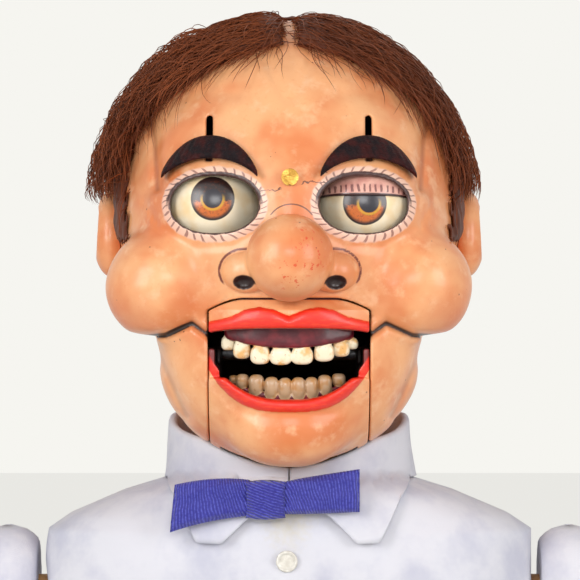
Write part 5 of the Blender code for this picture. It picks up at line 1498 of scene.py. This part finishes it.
def build_trousers(look):
    for side, name in ((1, "left"), (-1, "right")):
        limb_cloth(
            "trouser_leg_" + name, ((side * 48, -97, 28), (side * 48, -394, 28)),
            ((0, 0.4, 0.5, 0.6, 1.0), (24.2, 23.6, 23.2, 22.4, 21.6)), look,
            0.50, "trouser_cloth",
            ("trouser_upper_" + name, "trouser_lower_" + name), 2.3 + side, 1.3,
        )
    heights = np.linspace(2.2, 98, 60)
    grid = body_grid(heights, 200, 4.2)
    out = grid.copy()
    out[..., 2] = 0
    out /= np.linalg.norm(out, axis=-1)[..., None]
    belt = 0.8 * ((grid[..., 2] > 88) & (grid[..., 2] < 97.5))
    grid = grid + out * (0.5 * cloth_noise(grid, 22, 2.2) * (grid[..., 2] < 86) + belt)[..., None]
    x, y, z = grid[..., 0], grid[..., 1], grid[..., 2]
    rear = (np.abs(x) < 60) & (y > 0) & (z > 43)
    legs = (np.hypot(np.abs(x) - 48, z - 28) < 27) & (y < -20)
    low = (z < 54) & (np.abs(np.abs(x) - 48) < 27) & (y < -20)
    keep = ~(rear & np.roll(rear, -1, 1) | (low & np.roll(low, -1, 1)) & (legs | low))
    stain = np.zeros(x.size)
    seat = add_cloth(
        "trouser_top", grid, look, "body", "trouser_cloth", ("trouser_seat",), keep=keep, stain=stain
    )


def build_shoes(look, sole_look):
    for side, name in ((1, "left"), (-1, "right")):
        centre = side * 48

        def upper(p, centre=centre):
            x, y, z = p[:, 0] - centre, p[:, 1] + 418, p[:, 2] - 50.5
            heel = ellipsoid(np.stack([x, y, z], -1), (0, -2, -26), (17.5, 15.5, 23))
            toe = ellipsoid(np.stack([x, y, z], -1), (side * 1.0, -8.5, 22), (20.4, 12.5, 27.4))
            waist = capsule(np.stack([x, y, z], -1), (0, -5, -20), (0, -7, 24), 15.5, 14.5)
            d = smin(smin(heel, toe, 8), waist, 6)
            cap = np.abs(z - 30) - 0.35
            d = np.maximum(d, -(np.maximum(cap, -(d + 0.5))))
            d = np.maximum(d, -440.2 + 5.4 - p[:, 1])
            return np.maximum(d, p[:, 1] + 404.4)

        def sole(p, centre=centre):
            x, y, z = p[:, 0] - centre, p[:, 1], p[:, 2] - 50.5
            half = 17.6 + 3.2 * np.exp(-((z - 22) / 20) ** 2) - 1.4 * np.exp(-((z + 4) / 12) ** 2)
            ends = np.hypot(np.abs(x) * 26 / half, np.clip(np.abs(z) - 23.8, 0, None)) - 26
            d = smax(ends * 0.66, np.maximum(-440.1 - y, y - (-440.2 + 5.2)), 0.8)
            arch = np.maximum(np.abs(z + 6) - 11, y + 440.2 - 2.0)
            return np.maximum(d, -arch)

        axes = (axis((centre - 22.5, centre + 22.5, 0.8)), axis((-441, -403, 0.8)), axis((-1, 102, 0.8)))
        shin, slot = "shin_" + name, "shoe_leather"
        add_surface("shoe_upper_" + name, upper, axes, look, shin, slot, ("shoe_" + name,), lift=0.0)
        add_surface("shoe_sole_" + name, sole, axes, sole_look, shin, slot, lift=0.0)
        laces = []
        for i in range(4):
            z = 46 + i * 6.5
            across = np.linspace(-1, 1, 13)
            x = centre + across * 8.5
            y = -418 - 4.0 + 14.2 * np.sqrt(1 - (across * 8.5 / 17.5) ** 2) + 0.2
            y = np.minimum(y, -405.4)
            laces.append(tube(np.stack([x, y, z + across * 2.4 * (1 if i % 2 else -1)], -1), 0.9, 8))
        points, groups = merged(laces)
        add_mesh("laces_" + name, points, groups, sole_look, shin, slot, lift=0.0)


def build_hands(skin):
    """Forearm with a mitt of four fingers and a thumb, loosely curled."""
    for side, name in ((1, "left"), (-1, "right")):
        def field(p, side=side):
            q = p.copy()
            q[:, 0] = (q[:, 0] * side - 141)
            arm = capsule(q, (0, 0, 176), (0, 0, 98), 16.4, 11.2)
            arm = smin(arm, ellipsoid(q, (0, -1, 76), (8.6, 14.5, 17)), 7)
            d = arm
            for i in range(4):
                y = -10.5 + 6.9 * i
                tall = (50, 43, 41.5, 47)[i]
                first = capsule(q, (0, y, 68), (-2.2, y * 1.04, tall + 9), 4.2, 3.9)
                second = capsule(q, (-2.2, y * 1.04, tall + 9), (-6.6, y * 1.02, tall), 3.9, 3.3)
                d = smin(d, smin(first, second, 1.2), 1.3)
            thumb = capsule(q, (-1, -10, 82), (-5, -16.4, 66), 5, 4.2)
            thumb = smin(thumb, capsule(q, (-5, -16.4, 66), (-8, -15.4, 57), 4.2, 3.6), 1.0)
            return smin(d, thumb, 2.0)

        def values(p):
            return {"crease": np.zeros(len(p)), "inside": np.zeros(len(p))}

        reach = sorted((side * 121, side * 160))
        tall = axis((34, 96, 0.75), (96, 196, 2.0))
        axes = (axis((reach[0], reach[1], 0.75)), axis((-23, 19, 0.75)), tall)
        body = "forearm_" + name
        add_surface("hand_" + name, field, axes, skin, body, "painted_skin", (), lift=0.0, values=values)


# ---------------------------------------------------------------- carried-over nodes


def dress_nodes(looks):
    by_slot = {}
    for part in frame["record"]["subparts"]:
        by_slot[part["node"]] = part.get("material_slot")
    for name, obj in frame["nodes"].items():
        look = looks.get(by_slot.get(name))
        if look is None:
            continue
        for slot in obj.material_slots:
            slot.material = look


# ---------------------------------------------------------------- stage


def build_stage():
    floor = bpy.data.meshes.new("floor")
    floor.from_pydata([(-6, -6, 0), (6, -6, 0), (6, 6, 0), (-6, 6, 0)], [], [(0, 1, 2, 3)])
    obj = bpy.data.objects.new("floor", floor)
    bpy.context.scene.collection.objects.link(obj)
    look = Look("floor_paper", Roughness=0.8)
    grain = look.noise(look.place(), 400, 2)
    paper = look.finish(look.mix(grain, colour(240, 239, 235), colour(244, 243, 240)))
    tree = paper.node_tree
    glow = tree.nodes.new("ShaderNodeEmission")
    glow.inputs[0].default_value = colour(246, 245, 240)
    rays = tree.nodes.new("ShaderNodeLightPath")
    blend = tree.nodes.new("ShaderNodeMixShader")
    share = look.math("MAXIMUM", rays.outputs["Is Camera Ray"], rays.outputs["Is Glossy Ray"])
    share = look.times(share, 0.82)
    tree.links.new(share, blend.inputs[0])
    tree.links.new(look.shader.outputs[0], blend.inputs[1])
    tree.links.new(glow.outputs[0], blend.inputs[2])
    tree.links.new(blend.outputs[0], tree.nodes["Material Output"].inputs[0])
    obj.data.materials.append(paper)

    world = bpy.data.worlds.new("studio")
    bpy.context.scene.world = world
    world.use_nodes = True
    tree = world.node_tree
    tree.nodes.clear()
    paths = tree.nodes.new("ShaderNodeLightPath")
    lit = tree.nodes.new("ShaderNodeBackground")
    lit.inputs[0].default_value = (1, 1, 1, 1)
    lit.inputs[1].default_value = 0.30
    seen = tree.nodes.new("ShaderNodeBackground")
    seen.inputs[0].default_value = colour(246, 245, 240)
    seen.inputs[1].default_value = 1.0
    largest = None
    for key in ("Is Camera Ray", "Is Glossy Ray", "Is Transmission Ray"):
        if largest is None:
            largest = paths.outputs[key]
            continue
        node = tree.nodes.new("ShaderNodeMath")
        node.operation = "MAXIMUM"
        tree.links.new(largest, node.inputs[0])
        tree.links.new(paths.outputs[key], node.inputs[1])
        largest = node.outputs[0]
    mix = tree.nodes.new("ShaderNodeMixShader")
    out = tree.nodes.new("ShaderNodeOutputWorld")
    tree.links.new(largest, mix.inputs[0])
    tree.links.new(lit.outputs[0], mix.inputs[1])
    tree.links.new(seen.outputs[0], mix.inputs[2])
    tree.links.new(mix.outputs[0], out.inputs[0])


def softbox(name, place, aim, size, power):
    lamp = bpy.data.lights.new(name, "AREA")
    lamp.shape = "RECTANGLE"
    lamp.size, lamp.size_y = size
    lamp.energy = power
    obj = bpy.data.objects.new(name, lamp)
    bpy.context.scene.collection.objects.link(obj)
    obj.location = place
    obj.rotation_euler = (Vector(aim) - Vector(place)).to_track_quat("-Z", "Y").to_euler()


def build_lights():
    softbox("key_left", (-0.95, -1.05, 0.85), (0, 0, 0.45), (0.6, 0.8), 10)
    softbox("key_right", (1.05, -0.95, 0.75), (0, 0, 0.45), (0.6, 0.8), 8)
    softbox("front", (0.0, -2.0, 0.95), (0, 0, 0.42), (0.8, 0.5), 10)


def build_camera():
    camera = bpy.data.cameras.new("camera")
    camera.sensor_width = 36
    camera.lens = camera.sensor_width * CAMERA_AWAY / SHOWN_WIDE
    camera.clip_start = 0.05
    obj = bpy.data.objects.new("camera", camera)
    bpy.context.scene.collection.objects.link(obj)
    obj.location = (0.00045, -1.480, 0.440)
    obj.rotation_euler = (math.pi / 2, 0, 0)
    bpy.context.scene.camera = obj


def main():
    bpy.context.scene.view_settings.view_transform = "Standard"
    build_camera()
    face = skin_look("face_paint", face_extra)
    mouth = skin_look("mouth_paint", lip_extra)
    plain = skin_look("skin_paint")
    ear = skin_look("ear_skin")
    build_head(face)
    build_jaw(mouth)
    build_upper_lip(mouth)
    build_nose(skin_look("nose_skin", nose_extra))
    build_eyes(eye_look())
    build_lids(lid_look())
    build_brows(brow_look())
    build_teeth(tooth_look())
    build_ears(ear)
    build_hair(hair_look())
    yellowed = colour(214, 200, 152)
    shirt = cloth_look("shirt_cotton", colour(222, 221, 228), colour(200, 200, 214), stain=yellowed)
    shell = colour(214, 208, 196), colour(240, 236, 226)
    build_shirt(shirt, simple_look("button_shell", *shell, 3, 0.2, coat=0.6, own=True))
    build_collar(shirt)
    build_tie(tie_look())
    build_sleeves(shirt)
    wool = colour(44, 44, 50), colour(30, 30, 36)
    build_trousers(cloth_look("trouser_wool", *wool, weave=1.1, rough=0.9, sheen=0.3))
    build_shoes(
        simple_look("shoe_leather", colour(26, 20, 18), colour(52, 38, 32), 9, 0.28, coat=0.6, own=True),
        simple_look("shoe_sole", colour(52, 32, 20), colour(92, 60, 38), 5, 0.6, own=True),
    )
    build_hands(plain)
    grain = colour(140, 96, 56), colour(196, 148, 96)
    wood = simple_look("bare_wood", *grain, 22, 0.55, stretch=(1, 1, 0.12))
    skin_node = simple_look("node_skin", DEEP, PEACH, 20, 0.35, coat=0.5)
    dress_nodes({
        "bare_wood": wood,
        "brass": simple_look("brass", colour(150, 112, 50), colour(214, 172, 88), 6, 0.3, metal=1.0),
        "steel": simple_look("steel", colour(120, 120, 124), colour(188, 188, 192), 6, 0.3, metal=1.0),
        "painted_skin": skin_node,
    })
    build_stage()
    build_lights()


main()
bpy.context.view_layer.update()
